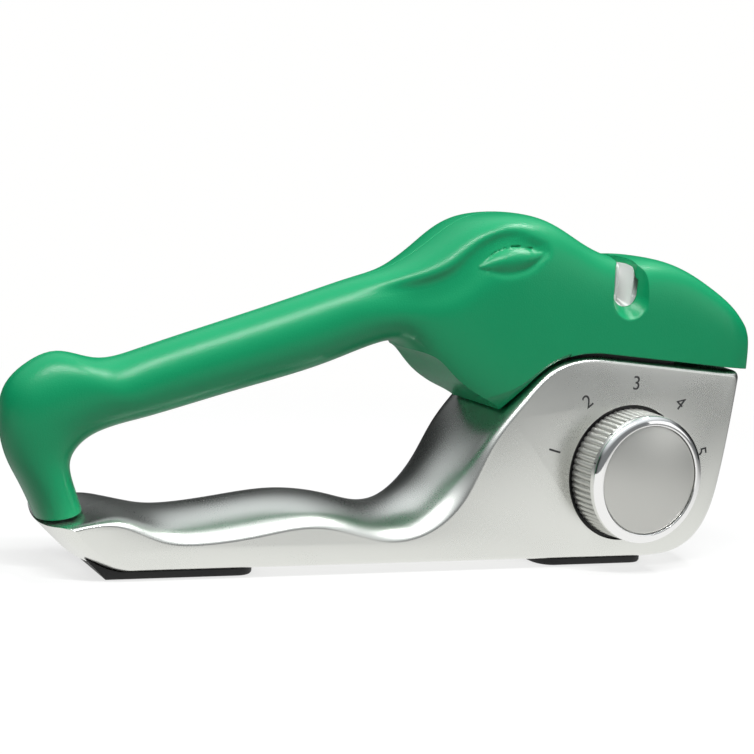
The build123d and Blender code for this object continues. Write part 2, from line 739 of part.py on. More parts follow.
# Foot pads
ground_room = base_body(pad_gap)
ground_room += mirror(ground_room, Plane.XZ)
toe_x = tail_pad_shares[0] * body_length
toe_corners = Polyline(
    (toe_x - overrun, -overrun), (toe_x + pad_toe, -overrun), (toe_x + pad_toe, 0),
    (toe_x, pad_toe_height), (toe_x - overrun, pad_toe_height), close=True,
)
toe_room = prism(make_face(toe_corners), -body_width, body_width)
for name, shares in (("tail_foot_pad", tail_pad_shares), ("head_foot_pad", head_pad_shares)):
    pad = pad_shape(shares, 0, 0, base_ground + pad_lift) - ground_room - toe_room
    pad = pad.solids().sort_by(SortBy.VOLUME)[-1]
    pad = Part() + [pad, pad_shape(shares, pad_step, base_ground / 2, base_ground + pad_sink) - toe_room]
    export_step(pad, "parts/" + name + ".step")

# Cradle that carries the drum
cradle = block(shelf_x[0], shelf_x[1], cheek_front, cradle_back, cradle_under, cradle_top)
cheek_points = Polyline(
    (drum_x - cradle_cheek_half, cradle_under), (drum_x + cradle_cheek_half, cradle_under),
    (drum_x + cradle_cheek_radius, drum_z), (drum_x - cradle_cheek_radius, drum_z), close=True,
)
cheek = make_face(cheek_points) + Pos(drum_x, drum_z) * Circle(cradle_cheek_radius)
cheek -= Pos(drum_x, drum_z) * Circle(drum_hub_radius + run_gap)
cheek_inside = cheek_front + cradle_thickness
beside_x = (idler_x + idler_pitch, shelf_x[1] + overrun)
cradle -= block(*beside_x, cheek_front - overrun, -cradle_thickness, 0, body_height)
cradle += prism(cheek, cheek_back, cradle_back)
cradle += prism(cheek, cheek_front, cheek_inside)
pin_bore = idler_pin_radius + press_gap
cradle -= bar(idler_x, idler_z, pin_bore, cheek_front - overrun, cheek_inside + overrun)
cradle_screws = []
for x in cradle_screw_x:
    seat = Pos(x, cradle_screw_y, cradle_top)
    cradle -= seat * Cylinder(screw_radius + boss_gap, 2 * cradle_thickness + overrun)
    cradle_screws.append(seat * Rot(180, 0, 0) * screw(cradle_screw_length))
export_step(cradle, "parts/drum_cradle.step")
export_step(Compound(children=cradle_screws), "parts/cradle_screws.step")

# Dial: knob, bezel, cap, shaft and what turns with it
knob_face = []
for flute in range(2 * knob_flutes):
    turn = flute * math.pi / knob_flutes
    radius = knob_radius if flute % 2 == 0 else knob_radius - flute_depth
    knob_face.append((radius * math.cos(turn), radius * math.sin(turn)))
knurl = make_face(Polyline(*knob_face, close=True))
rim_face = scale(knurl, knob_rim_radius / knob_radius)
back_face = plane_at(knob_back) * (Pos(0, dial_z) * knurl)
front_face = plane_at(knob_front) * (Pos(0, dial_z) * rim_face)
knob = loft([back_face, front_face], ruled=True)
knob -= bar(0, dial_z, knob_rim_radius - flute_depth - knob_wall, shaft_front, knob_back + overrun)
knob += bar(0, dial_z, hub_radius, shaft_front - overrun, knob_back - knob_floor_gap / 2)
knob -= bar(0, dial_z, shaft_radius + press_gap, shaft_front, knob_back + overrun)
screw_seat = knob_front + knob_wall / 2
knob -= bar(0, dial_z, screw_head_radius + boss_gap, knob_front - overrun, screw_seat)
knob -= bar(0, dial_z, screw_radius + boss_gap, knob_front, shaft_front + overrun)
export_step(knob, "parts/dial_knob.step")

edge = bezel_edge_radius
corner = edge * bevel_share
face_y = -knob_rim
shelf_y = face_y - bezel_dish - cap_thickness
inner_radius = bezel_land_radius - bezel_lip
shoulder = (knob_rim_radius, face_y - edge)
crown = (knob_rim_radius - edge, face_y)
rounding = ThreePointArc(shoulder, (knob_rim_radius - corner, face_y - corner), crown)
inside = Polyline(
    crown, (bezel_land_radius, face_y - bezel_dish), (bezel_land_radius, shelf_y),
    (inner_radius, shelf_y), (inner_radius, -knob_front), (knob_rim_radius, -knob_front), shoulder,
)
bezel = revolve(make_face(Curve() + [rounding, inside]), Axis.Y)
bezel = Pos(0, 0, dial_z) * mirror(bezel, Plane.XZ)
export_step(bezel, "parts/dial_bezel.step")
cap_front = knob_rim + bezel_dish
cap = bar(0, dial_z, bezel_land_radius - cap_gap, cap_front, cap_front + cap_thickness)
cap = chamfer(cap.edges().sort_by(Axis.Y)[0], cap_gap)
export_step(cap, "parts/dial_cap.step")
knob_screw = Pos(0, screw_seat, dial_z) * Rot(-90, 0, 0) * screw(knob_screw_length)
export_step(knob_screw, "parts/knob_screw.step")

shaft = bar(0, dial_z, shaft_radius, shaft_front, index_back)
shaft_end = index_back + journal_gap + journal_length - side_gap
screw_end = screw_seat + knob_screw_length + side_gap
shaft += bar(0, dial_z, shaft_tail_radius, index_back - overrun, shaft_end)
shaft -= bar(0, dial_z, screw_radius + press_gap, shaft_front - overrun, screw_end)
neck = shaft_radius - shaft_groove_depth
clip_back = gear_back + clip_thickness
clip_groove = bar(0, dial_z, shaft_radius + overrun, gear_back, clip_back)
shaft -= clip_groove - bar(0, dial_z, neck, gear_back, clip_back)
export_step(shaft, "parts/dial_shaft.step")
clip = bar(0, dial_z, clip_radius, gear_back, clip_back)
clip -= bar(0, dial_z, neck + press_gap, gear_back - overrun, clip_back + overrun)
clip -= block(-neck, neck, gear_back - overrun, clip_back + overrun, 0, dial_z)
export_step(clip, "parts/shaft_clip.step")
sleeve = bar(0, dial_z, shaft_radius + bushing_wall, recess_floor, recess_inside)
sleeve += bar(0, dial_z, recess_radius - boss_gap, recess_floor - bushing_flange_thickness, recess_floor)
sleeve -= bar(0, dial_z, shaft_radius + run_gap, -half_width, 0)
export_step(sleeve, "parts/dial_bushing.step")

index_plate = tube(0, dial_z, index_radius, shaft_radius + press_gap, index_front, index_back)
for stop in range(round(360 / stop_angle)):
    turn = math.radians(stop * stop_angle)
    reach = index_radius + index_notch_out
    notch_x = reach * math.cos(turn)
    notch_z = dial_z + reach * math.sin(turn)
    index_plate -= bar(notch_x, notch_z, index_notch_radius, 0, half_width)
export_step(index_plate, "parts/index_plate.step")

# Detent spring on its post
spring_low = post_z - post_height / 2 + spring_foot_gap
spring = block(strip_x - spring_thickness, strip_x, index_front, index_back, spring_low, dial_z)
bead = bar(bead_x, dial_z, spring_bead_radius, index_front, index_back)
bead -= bar(bead_x, dial_z, spring_bead_radius - spring_thickness, 0, half_width)
bead -= block(bead_x, strip_x + overrun, 0, half_width, 0, dial_z)
spring += bead
spring -= bar_x(0, strip_x + overrun, spring_y, post_z, screw_radius + boss_gap)
export_step(spring, "parts/detent_spring.step")
spring_seat = Pos(strip_x - spring_thickness, spring_y, post_z)
spring_screw = spring_seat * Rot(0, 90, 0) * screw(spring_screw_length)
export_step(spring_screw, "parts/spring_screw.step")

# Gear train
drive_phase = 0.0
drive_angle = math.atan2(idler_z - dial_z, idler_x)
idler_angle = math.atan2(drum_z - idler_z, drum_x - idler_x)
idler_phase = meshed(drive_phase, dial_teeth, drive_angle, idler_teeth)
drum_phase = meshed(idler_phase, idler_teeth, idler_angle, drum_teeth)
drive = gear(dial_teeth, drive_phase, 0, dial_z)
drive -= bar(0, dial_z, shaft_radius + press_gap, -half_width, 0)
export_step(drive, "parts/drive_gear.step")
bush_radius = idler_pin_radius + idler_bush_wall
idler = gear(idler_teeth, idler_phase, idler_x, idler_z)
idler -= bar(idler_x, idler_z, bush_radius + press_gap, -half_width, 0)
export_step(idler, "parts/idler_gear.step")
bush = tube(idler_x, idler_z, bush_radius, idler_pin_radius + run_gap, gear_front, gear_back)
export_step(bush, "parts/idler_bush.step")
pin = bar(idler_x, idler_z, idler_pin_radius, -inner_half, cheek_front + cradle_thickness)
export_step(pin, "parts/idler_pin.step")
pinion = gear(drum_teeth, drum_phase, drum_x, drum_z)
pinion -= bar(drum_x, drum_z, drum_hub_radius + press_gap, -half_width, 0)
export_step(pinion, "parts/drum_gear.step")

# Drum with its five stages of sharpening bars
rod = Cylinder(rod_radius, rod_length)
fine_rod = Cylinder(fine_rod_radius, rod_length)
blade = Box(blade_width, blade_thickness, rod_length)
long_room = rod_length + 2 * rod_gap
blade_room = Box(blade_width + 2 * rod_gap, blade_thickness + 2 * rod_gap, long_room)
rod_room = Cylinder(rod_radius + rod_gap, long_room)
fine_rod_room = Cylinder(fine_rod_radius + rod_gap, long_room)
stages = [
    ("coarse_blades", blade, blade_room, (-1, 1)),
    ("diamond_rods", rod, rod_room, (-1, 1)),
    ("ceramic_rods", rod, rod_room, (-1, 1)),
    ("bread_knife_rods", fine_rod, fine_rod_room, (-1, 1)),
    ("scissor_rods", rod, rod_room, (-1,)),
]
drum = bar(drum_x, drum_z, drum_radius, drum_front, drum_back)
for stage in range(stage_count):
    drum -= on_drum(notch(notch_root_radius), stage)
for stage, (name, profile, room, sides) in enumerate(stages):
    placed = []
    for side in sides:
        placed += [on_drum(item, stage) for item in stage_bars(side, rod_count, profile)]
        for item in stage_bars(side, rod_count, room):
            drum -= on_drum(item, stage)
    export_step(Compound(children=placed), "parts/" + name + ".step")
drum += bar(drum_x, drum_z, drum_hub_radius, gear_front, drum_front)
drum += bar(drum_x, drum_z, drum_hub_radius, drum_back, cradle_back)
drum -= bar(drum_x, drum_z, drum_pin_radius + run_gap, -half_width, half_width)
cover_start = drum_back - end_cover_thickness
hub_room = drum_hub_radius + run_gap
cover_room = tube(drum_x, drum_z, drum_radius + overrun, hub_room, cover_start, drum_back)
cover = drum & cover_room
drum -= cover_room
export_step(drum, "parts/stage_drum.step")
export_step(cover, "parts/drum_end_cover.step")

front_clip_y = gear_front - clip_thickness - boss_gap
rear_clip_y = cradle_back + boss_gap
axle = bar(drum_x, drum_z, drum_pin_radius, front_clip_y - boss_gap, rear_clip_y + 2 * clip_thickness)
neck = drum_pin_radius - shaft_groove_depth
clips = []
for y in (front_clip_y, rear_clip_y):
    clip_back = y + clip_thickness
    axle_groove = bar(drum_x, drum_z, drum_pin_radius + overrun, y, clip_back)
    axle -= axle_groove - bar(drum_x, drum_z, neck, y, clip_back)
    ring = bar(drum_x, drum_z, drum_clip_radius, y, clip_back)
    ring -= bar(drum_x, drum_z, neck + press_gap, y - overrun, clip_back + overrun)
    ring -= block(drum_x - neck, drum_x + neck, y - overrun, clip_back + overrun, idler_z, drum_z)
    clips.append(ring)
export_step(axle, "parts/drum_axle.step")
export_step(Compound(children=clips), "parts/axle_clips.step")
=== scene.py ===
import logging
import math
from contextlib import contextmanager
from dataclasses import dataclass
from enum import Enum
from typing import Any, Iterator, Sequence

import bpy
import numpy as np
from mathutils import Matrix, Vector


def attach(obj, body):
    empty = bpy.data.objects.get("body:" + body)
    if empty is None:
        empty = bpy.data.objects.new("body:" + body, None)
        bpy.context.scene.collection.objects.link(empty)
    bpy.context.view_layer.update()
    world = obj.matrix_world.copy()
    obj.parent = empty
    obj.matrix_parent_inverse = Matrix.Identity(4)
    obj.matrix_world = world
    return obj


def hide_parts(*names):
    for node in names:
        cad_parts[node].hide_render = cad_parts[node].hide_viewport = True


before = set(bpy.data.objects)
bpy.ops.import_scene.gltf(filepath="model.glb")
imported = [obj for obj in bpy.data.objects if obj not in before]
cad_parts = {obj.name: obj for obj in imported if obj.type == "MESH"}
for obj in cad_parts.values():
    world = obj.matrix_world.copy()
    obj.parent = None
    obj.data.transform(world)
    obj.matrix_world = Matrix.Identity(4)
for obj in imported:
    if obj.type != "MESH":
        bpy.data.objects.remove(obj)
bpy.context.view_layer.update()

LOG = logging.getLogger("sharpener")
Piece = bpy.types.Object
Point = tuple[float, float]
Line = tuple[Point, ...]
Triple = tuple[float, float, float]
Rows = tuple[tuple[float, ...], ...]

# All sizes are in metres. Outlines are given in shares of LENGTH and HEIGHT.
LENGTH = 0.240
HEIGHT = 0.108
HALF = 0.020  # half of the body's width
DIAL_Z = 0.030  # the dial's axis, at X 0
SLOT_X = -0.005  # the middle of the knife slot
OVER = 0.001  # how far a tool runs past what it cuts
SINK = 0.0028  # radius of the hole over a screw's head
PAPER = (1.0, 1.0, 0.995, 1.0)  # the white behind the object


class Finishes(Enum):
    """Names of the finishes, each with its material slot in the record."""

    GREEN = "green_plastic"
    SILVER = "silver_paint"
    KNOB = "silver_plastic"
    CHROME = "bezel_chrome"
    CAP = "cap_satin"
    WHITE = "white_plastic"
    BLACK = "black_plastic"
    RUBBER = "black_rubber"
    STEEL = "steel"
    ZINC = "zinc_steel"
    SPRING = "spring_steel"
    ACETAL = "gear_plastic"
    GREY = "grey_plastic"
    CARBIDE = "carbide"
    DIAMOND = "diamond_grit"
    CERAMIC = "ceramic"
    PRINT = "print"


class Signal:
    """A value in a shader, whose arithmetic adds Math nodes."""

    def __init__(self, shader: "Shader", socket: Any) -> None:
        """Wraps one output socket of a shader's node."""
        self.shader = shader
        self.socket = socket

    def _math(self, operation: str, first: Any, second: Any) -> "Signal":
        """Adds one Math node.

        Args:
            operation: The Math node's operation.
            first: The first value.
            second: The second value.

        Returns:
            The node's result.
        """
        made = self.shader.node("ShaderNodeMath", {"operation": operation}, {0: first, 1: second})
        return Signal(self.shader, made.outputs[0])

    def __add__(self, other: Any) -> "Signal":
        """The sum."""
        return self._math("ADD", self, other)

    __radd__ = __add__

    def __mul__(self, other: Any) -> "Signal":
        """The product."""
        return self._math("MULTIPLY", self, other)

    __rmul__ = __mul__

    def __sub__(self, other: Any) -> "Signal":
        """The difference."""
        return self._math("SUBTRACT", self, other)

    def __rsub__(self, other: Any) -> "Signal":
        """The difference from a number."""
        return self._math("SUBTRACT", other, self)


class Shader:
    """The node tree of a material or a world under construction."""

    def __init__(self, owner: bpy.types.Material | bpy.types.World) -> None:
        """Empties the owner's node tree.

        Args:
            owner: The material or the world.
        """
        owner.use_nodes = True
        self.owner = owner
        self.tree = owner.node_tree
        self.tree.nodes.clear()

    def node(self, kind: str, settings: dict[str, Any], sockets: dict[Any, Any]) -> Any:
        """Adds one node.

        Args:
            kind: The node's type.
            settings: Properties that are set first; "stops" fills a colour ramp.
            sockets: Values, signals or sockets for the node's inputs.

        Returns:
            The new node.
        """
        made = self.tree.nodes.new(kind)
        for key, value in settings.items():
            if key == "stops":
                ramp = made.color_ramp
                ramp.elements[0].position, ramp.elements[0].color = value[0]
                ramp.elements[1].position, ramp.elements[1].color = value[-1]
                for place, colour in value[1:-1]:
                    ramp.elements.new(place).color = colour
            else:
                setattr(made, key, value)
        for key, value in sockets.items():
            if isinstance(value, Signal):
                value = value.socket
            if isinstance(value, bpy.types.NodeSocket):
                self.tree.links.new(value, made.inputs[key])
            else:
                made.inputs[key].default_value = value
        return made

    def signal(self, kind: str, settings: dict[str, Any], sockets: dict[Any, Any],
               out: Any = 0) -> Signal:
        """Adds one node and returns one of its outputs as a signal."""
        return Signal(self, self.node(kind, settings, sockets).outputs[out])

    def fade(self, value: Any, low: float, high: float, first: float, last: float) -> Signal:
        """A smooth change from a first to a last number while a value goes from low to high."""
        return self.signal("ShaderNodeMapRange", {"interpolation_type": "SMOOTHSTEP"}, {
            "Value": value, "From Min": low, "From Max": high, "To Min": first, "To Max": last})

    def ray(self, kind: str) -> Signal:
        """One for rays of a kind that Light Path names, and zero for the others."""
        return self.signal("ShaderNodeLightPath", {}, {}, kind)


@dataclass(frozen=True)
class Finish:
    """One surface finish: its colour, gloss and fine texture."""

    name: str
    colour: Triple
    roughness: float
    metallic: float = 0.0
    specular: float = 0.5
    grain: float = 0.0004
    grain_depth: float = 0.000008
    mottle: float = 0.03
    mottle_size: float = 0.02
    rough_spread: float = 0.05
    edge: float = 0.0004
    stretch: Triple = (1.0, 1.0, 1.0)

    def dress(self) -> bpy.types.Material:
        """Makes the material.

        Returns:
            A material with grain, mottling and softened edges.
        """
        shader = Shader(bpy.data.materials.new(self.name))
        place = shader.node("ShaderNodeTexCoord", {}, {}).outputs["Object"]
        mapping = shader.node(
            "ShaderNodeMapping", {}, {"Vector": place, "Scale": self.stretch}).outputs[0]
        grain = shader.signal("ShaderNodeTexNoise", {}, {
            "Vector": mapping, "Scale": 1 / self.grain, "Detail": 3.0, "Roughness": 0.6})
        cloud = shader.signal("ShaderNodeTexNoise", {}, {
            "Vector": place, "Scale": 1 / self.mottle_size, "Detail": 2.0})
        dark, light = (tuple(min(1.0, c * (1 + shift)) for c in self.colour) + (1.0,)
                       for shift in (-self.mottle, self.mottle))
        base = shader.node(
            "ShaderNodeValToRGB", {"stops": [(0.3, dark), (0.7, light)]}, {0: cloud}).outputs[0]
        rough = ((grain - 0.5) * self.rough_spread + (cloud - 0.5) * self.rough_spread
                 + self.roughness)
        soft = shader.node("ShaderNodeBevel", {"samples": 4}, {"Radius": self.edge}).outputs[0]
        bump = shader.node("ShaderNodeBump", {}, {
            "Strength": 1.0, "Distance": self.grain_depth, "Height": grain, "Normal": soft})
        surface = shader.node("ShaderNodeBsdfPrincipled", {}, {
            "Base Color": base, "Roughness": rough, "Metallic": self.metallic,
            "Specular IOR Level": self.specular, "Normal": bump.outputs[0]})
        shader.node("ShaderNodeOutputMaterial", {}, {"Surface": surface.outputs[0]})
        return shader.owner


FINISH_LIST: dict[Finishes, Finish] = {
    Finishes.GREEN: Finish(
        "green satin plastic", (0.003, 0.345, 0.134), 0.29, specular=0.34, grain=0.00045,
        grain_depth=0.00005, mottle=0.02, edge=0.0005),
    Finishes.SILVER: Finish(
        "silver satin paint", (0.76, 0.77, 0.73), 0.28, metallic=1.0, grain=0.00035,
        grain_depth=0.000005, mottle=0.015, edge=0.00012),
    Finishes.KNOB: Finish(
        "knob silver", (0.66, 0.66, 0.63), 0.32, metallic=0.8, edge=0.0002, mottle=0.02),
    Finishes.CHROME: Finish(
        "bezel chrome", (0.86, 0.86, 0.85), 0.05, metallic=1.0, grain_depth=0.0, mottle=0.005,
        rough_spread=0.015, edge=0.0003),
    Finishes.CAP: Finish(
        "cap satin", (0.62, 0.62, 0.585), 0.36, metallic=0.7, grain=0.0003, mottle=0.01),
    Finishes.WHITE: Finish(
        "white guide plastic", (0.86, 0.87, 0.85), 0.35, edge=0.0005, mottle=0.01),
    # Black plastic; also used as painted shade on the collar in the gap under the handle and on the
    # bushing's flange round the knob.
    Finishes.BLACK: Finish("black plastic and painted shade", (0.02, 0.02, 0.02), 0.5, mottle=0.1),
    Finishes.RUBBER: Finish(
        "black rubber", (0.014, 0.014, 0.014), 0.7, grain=0.0006, grain_depth=0.00006,
        mottle=0.2, rough_spread=0.15),
    Finishes.STEEL: Finish(
        "turned steel", (0.58, 0.58, 0.58), 0.26, metallic=1.0, stretch=(1.0, 0.1, 1.0)),
    Finishes.ZINC: Finish(
        "zinc plated steel", (0.66, 0.66, 0.61), 0.3, metallic=1.0, mottle=0.08,
        mottle_size=0.003),
    Finishes.SPRING: Finish(
        "spring steel", (0.42, 0.42, 0.43), 0.3, metallic=1.0, stretch=(1.0, 1.0, 0.1)),
    Finishes.ACETAL: Finish("gear acetal", (0.74, 0.71, 0.60), 0.42, mottle=0.02),
    Finishes.GREY: Finish("grey plastic", (0.30, 0.31, 0.32), 0.45, mottle=0.03),
    Finishes.CARBIDE: Finish(
        "carbide", (0.17, 0.17, 0.18), 0.38, metallic=0.9, grain=0.0002, mottle=0.1),
    Finishes.DIAMOND: Finish(
        "diamond coat", (0.33, 0.31, 0.27), 0.55, metallic=0.4, grain=0.00015,
        grain_depth=0.00004, mottle=0.12, rough_spread=0.3),
    Finishes.CERAMIC: Finish(
        "fired ceramic", (0.85, 0.83, 0.76), 0.5, grain=0.0003, mottle=0.04),
    Finishes.PRINT: Finish("dark print", (0.02, 0.02, 0.022), 0.5, grain_depth=0.0),
}
MATERIALS: dict[Finishes, bpy.types.Material] = {}


def material(finish: Finishes) -> bpy.types.Material:
    """The material of a finish, made the first time it is asked for.

    Args:
        finish: The finish.

    Returns:
        Its material.
    """
    if finish not in MATERIALS:
        MATERIALS[finish] = FINISH_LIST[finish].dress()
    return MATERIALS[finish]


class Route:
    """A smooth line through rows of numbers, cubic along the chords of their first two."""

    def __init__(self, rows: Sequence[Sequence[float]]) -> None:
        """Works out how the line bends at each row.

        Args:
            rows: The rows that it goes through, X and Z first.
        """
        self.rows = np.array(rows, dtype=float)
        steps = np.linalg.norm(np.diff(self.rows[:, :2], axis=0), axis=1)
        self.knots = np.concatenate([[0.0], np.cumsum(steps)])
        count = len(self.knots)
        system = np.eye(count)
        right = np.zeros_like(self.rows)
        for i in range(1, count - 1):
            a, b = steps[i - 1], steps[i]
            system[i, i - 1:i + 2] = (a, 2 * (a + b), b)
            before, here, after = self.rows[i - 1:i + 2]
            right[i] = 6 * ((after - here) / b - (here - before) / a)
        self.bends = np.linalg.solve(system, right)

    def at(self, places: np.ndarray) -> np.ndarray:
        """Rows at places along the line, from zero to one.

        Args:
            places: The places.

        Returns:
            One row for each place.
        """
        t = np.clip(np.asarray(places), 0, 1) * self.knots[-1]
        i = np.clip(np.searchsorted(self.knots, t, side="right") - 1, 0, len(self.knots) - 2)
        h = (self.knots[i + 1] - self.knots[i])[:, None]
        a = (self.knots[i + 1] - t)[:, None] / h
        b = 1 - a
        cubic = ((a ** 3 - a) * self.bends[i] + (b ** 3 - b) * self.bends[i + 1]) * h ** 2 / 6
        return a * self.rows[i] + b * self.rows[i + 1] + cubic

    def points(self, count: int) -> np.ndarray:
        """Rows at even places from end to end."""
        return self.at(np.linspace(0, 1, count))


def scaled(shares: Sequence[Point]) -> np.ndarray:
    """Outline points in metres from their shares of length and height."""
    return np.array([(x * LENGTH, z * HEIGHT) for x, z in shares])


def clear_selection() -> None:
    """Deselects every object."""
    bpy.ops.object.select_all(action="DESELECT")


def hold(piece: Piece) -> None:
    """Makes one object the only selected and the active one.

    Args:
        piece: The object.
    """
    clear_selection()
    piece.select_set(True)
    bpy.context.view_layer.objects.active = piece


def added(name: str) -> Piece:
    """Names the object that the last operator added.

    Args:
        name: Its name.

    Returns:
        The object.
    """
    piece = bpy.context.object
    piece.name = name
    return piece


@contextmanager
def editing(piece: Piece) -> Iterator[None]:
    """Edit mode with all of a piece selected, for as long as the block lasts.

    Args:
        piece: The piece.

    Yields:
        Nothing.
    """
    hold(piece)
    bpy.ops.object.mode_set(mode="EDIT")
    bpy.ops.mesh.select_all(action="SELECT")
    yield
    bpy.ops.object.mode_set(mode="OBJECT")


def tidy_mesh(piece: Piece, close: bool = True) -> None:
    """Merges doubles, closes open ends and turns the faces outwards.

    Args:
        piece: The object.
        close: Whether open ends are filled.
    """
    with editing(piece):
        bpy.ops.mesh.remove_doubles(threshold=0.000002)
        if close:
            bpy.ops.mesh.fill_holes(sides=0)
        bpy.ops.mesh.select_all(action="SELECT")
        bpy.ops.mesh.normals_make_consistent(inside=False)


def skin(name: str, points: np.ndarray) -> Piece:
    """A closed skin from a grid whose points are moved into place.

    Args:
        name: The object's name.
        points: Places by row and column; the last column repeats the first.

    Returns:
        The object.
    """
    rows, columns = points.shape[:2]
    clear_selection()
    bpy.ops.mesh.primitive_grid_add(x_subdivisions=rows - 1, y_subdivisions=columns - 1, size=2.0)
    piece = added(name)
    flat = np.empty(len(piece.data.vertices) * 3)
    piece.data.vertices.foreach_get("co", flat)
    flat = flat.reshape(-1, 3)
    row = np.rint((flat[:, 0] + 1) / 2 * (rows - 1)).astype(int)
    column = np.rint((flat[:, 1] + 1) / 2 * (columns - 1)).astype(int)
    piece.data.vertices.foreach_set("co", points[row, column].reshape(-1))
    piece.data.update()
    tidy_mesh(piece)
    return piece


def ring(name: str, points: Sequence[Sequence[float]]) -> Piece:
    """A closed wire from a circle whose points are moved into place.

    Args:
        name: The object's name.
        points: The places, in order.

    Returns:
        The wire.
    """
    clear_selection()
    bpy.ops.mesh.primitive_circle_add(vertices=len(points), radius=0.01, fill_type="NOTHING")
    piece = added(name)
    for vertex, point in zip(piece.data.vertices, points):
        vertex.co = point
    return piece


def prism(name: str, outline: np.ndarray, y_low: float, y_high: float,
          far: np.ndarray | None = None) -> Piece:
    """An outline in X and Z extruded between two places along Y.

    Args:
        name: The object's name.
        outline: Points in X and Z at the low place.
        y_low: The low place.
        y_high: The high place.
        far: Points at the high place, where they differ.

    Returns:
        The closed object.
    """
    piece = ring(name, [(x, y_low, z) for x, z in outline])
    with editing(piece):
        bpy.ops.mesh.extrude_region_move(
            TRANSFORM_OT_translate={"value": (0, y_high - y_low, 0)})
    if far is not None:
        for vertex, (x, z) in zip(piece.data.vertices[len(outline):], far):
            vertex.co = (x, y_high, z)
    tidy_mesh(piece)
    return piece


def block(name: str, low: Sequence[float], high: Sequence[float]) -> Piece:
    """A block between its lowest and its highest corner."""
    corners = [(low[0], low[2]), (high[0], low[2]), (high[0], high[2]), (low[0], high[2])]
    return prism(name, np.array(corners), low[1], high[1])


def round_bar(name: str, x: float, z: float, radius: float, y_low: float, y_high: float,
              sides: int = 96) -> Piece:
    """A round bar along Y.

    Args:
        name: The object's name.
        x: Place of the axis.
        z: Height of the axis.
        radius: The bar's radius.
        y_low: Its low end.
        y_high: Its high end.
        sides: Faces round the bar.

    Returns:
        The closed object.
    """
    turn = np.linspace(0, 2 * math.pi, sides, endpoint=False)
    outline = np.stack([x + radius * np.cos(turn), z + radius * np.sin(turn)], axis=1)
    return prism(name, outline, y_low, y_high)


def turned(name: str, profile: Sequence[Point], x: float, z: float, steps: int = 128) -> Piece:
    """A piece turned about an axis along Y.

    Args:
        name: The object's name.
        profile: Closed profile as radius and place along Y.
        x: Place of the axis.
        z: Height of the axis.
        steps: Steps round the axis.

    Returns:
        The closed object.
    """
    piece = ring(name, [(x + radius, y, z) for radius, y in profile])
    with editing(piece):
        bpy.ops.mesh.spin(steps=steps, angle=2 * math.pi, center=(x, 0, z), axis=(0, 1, 0))
    tidy_mesh(piece, close=False)
    return piece


def combine(piece: Piece, *tools: Piece, operation: str = "DIFFERENCE") -> None:
    """Cuts tools out of a piece one by one, or adds them to it, and removes them.

    Args:
        piece: The piece.
        tools: The tools.
        operation: The Boolean modifier's operation.
    """
    for tool in tools:
        hold(piece)
        change = piece.modifiers.new("change", "BOOLEAN")
        change.operation = operation
        change.solver = "EXACT"
        change.object = tool
        bpy.ops.object.modifier_apply(modifier=change.name)
        bpy.data.objects.remove(tool, do_unlink=True)


def reflect(piece: Piece) -> None:
    """Moves a piece's mesh to the other side of the parting plane."""
    piece.data.transform(Matrix.Scale(-1, 4, (0, 1, 0)))
    piece.data.flip_normals()


def mirrored(piece: Piece, name: str) -> Piece:
    """A copy of a piece on the other side of the parting plane.

    Args:
        piece: The piece.
        name: The copy's name.

    Returns:
        The copy, with its own mesh.
    """
    copy = piece.copy()
    copy.data = piece.data.copy()
    copy.name = name
    bpy.context.collection.objects.link(copy)
    reflect(copy)
    return copy


def join(pieces: Sequence[Piece], name: str) -> Piece:
    """Joins pieces into one object.

    Args:
        pieces: The pieces.
        name: The object's name.

    Returns:
        The first piece, which now holds them all.
    """
    hold(pieces[0])
    for piece in pieces:
        piece.select_set(True)
    bpy.ops.object.join()
    pieces[0].name = name
    return pieces[0]


def finish_piece(piece: Piece, finish: Finishes, body: str, *nodes: str,
                 angle: float = 35.0) -> None:
    """Shades, dresses and mounts one finished piece.

    Args:
        piece: The piece.
        finish: Its finish.
        body: The body that it rides on.
        nodes: The CAD nodes that it stands for.
        angle: The largest angle that is shaded smooth, in degrees.
    """
    hold(piece)
    bpy.ops.object.shade_smooth_by_angle(angle=math.radians(angle))
    piece.data.materials.clear()
    piece.data.materials.append(material(finish))
    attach(piece, body)
    if nodes:
        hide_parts(*nodes)
    LOG.info("%s: %d faces", piece.name, len(piece.data.polygons))


def nearest(x: np.ndarray, z: np.ndarray, line: np.ndarray) -> tuple[np.ndarray, ...]:
    """Distance from places to a line of short straight steps.

    Args:
        x: Places along the body.
        z: Heights.
        line: Points in X and Z.

    Returns:
        The distances, where along the line the nearest point is from zero to one, and its height.
    """
    gap = np.full(x.shape, np.inf)
    share = np.zeros(x.shape)
    level = np.zeros(x.shape)
    for i, (start, step) in enumerate(zip(line[:-1], np.diff(line, axis=0))):
        t = np.clip(((x - start[0]) * step[0] + (z - start[1]) * step[1]) / (step @ step), 0, 1)
        reach = np.hypot(x - start[0] - t * step[0], z - start[1] - t * step[1])
        closer = reach < gap
        gap = np.where(closer, reach, gap)
        share = np.where(closer, (i + t) / (len(line) - 1), share)
        level = np.where(closer, start[1] + t * step[1], level)
    return gap, share, level


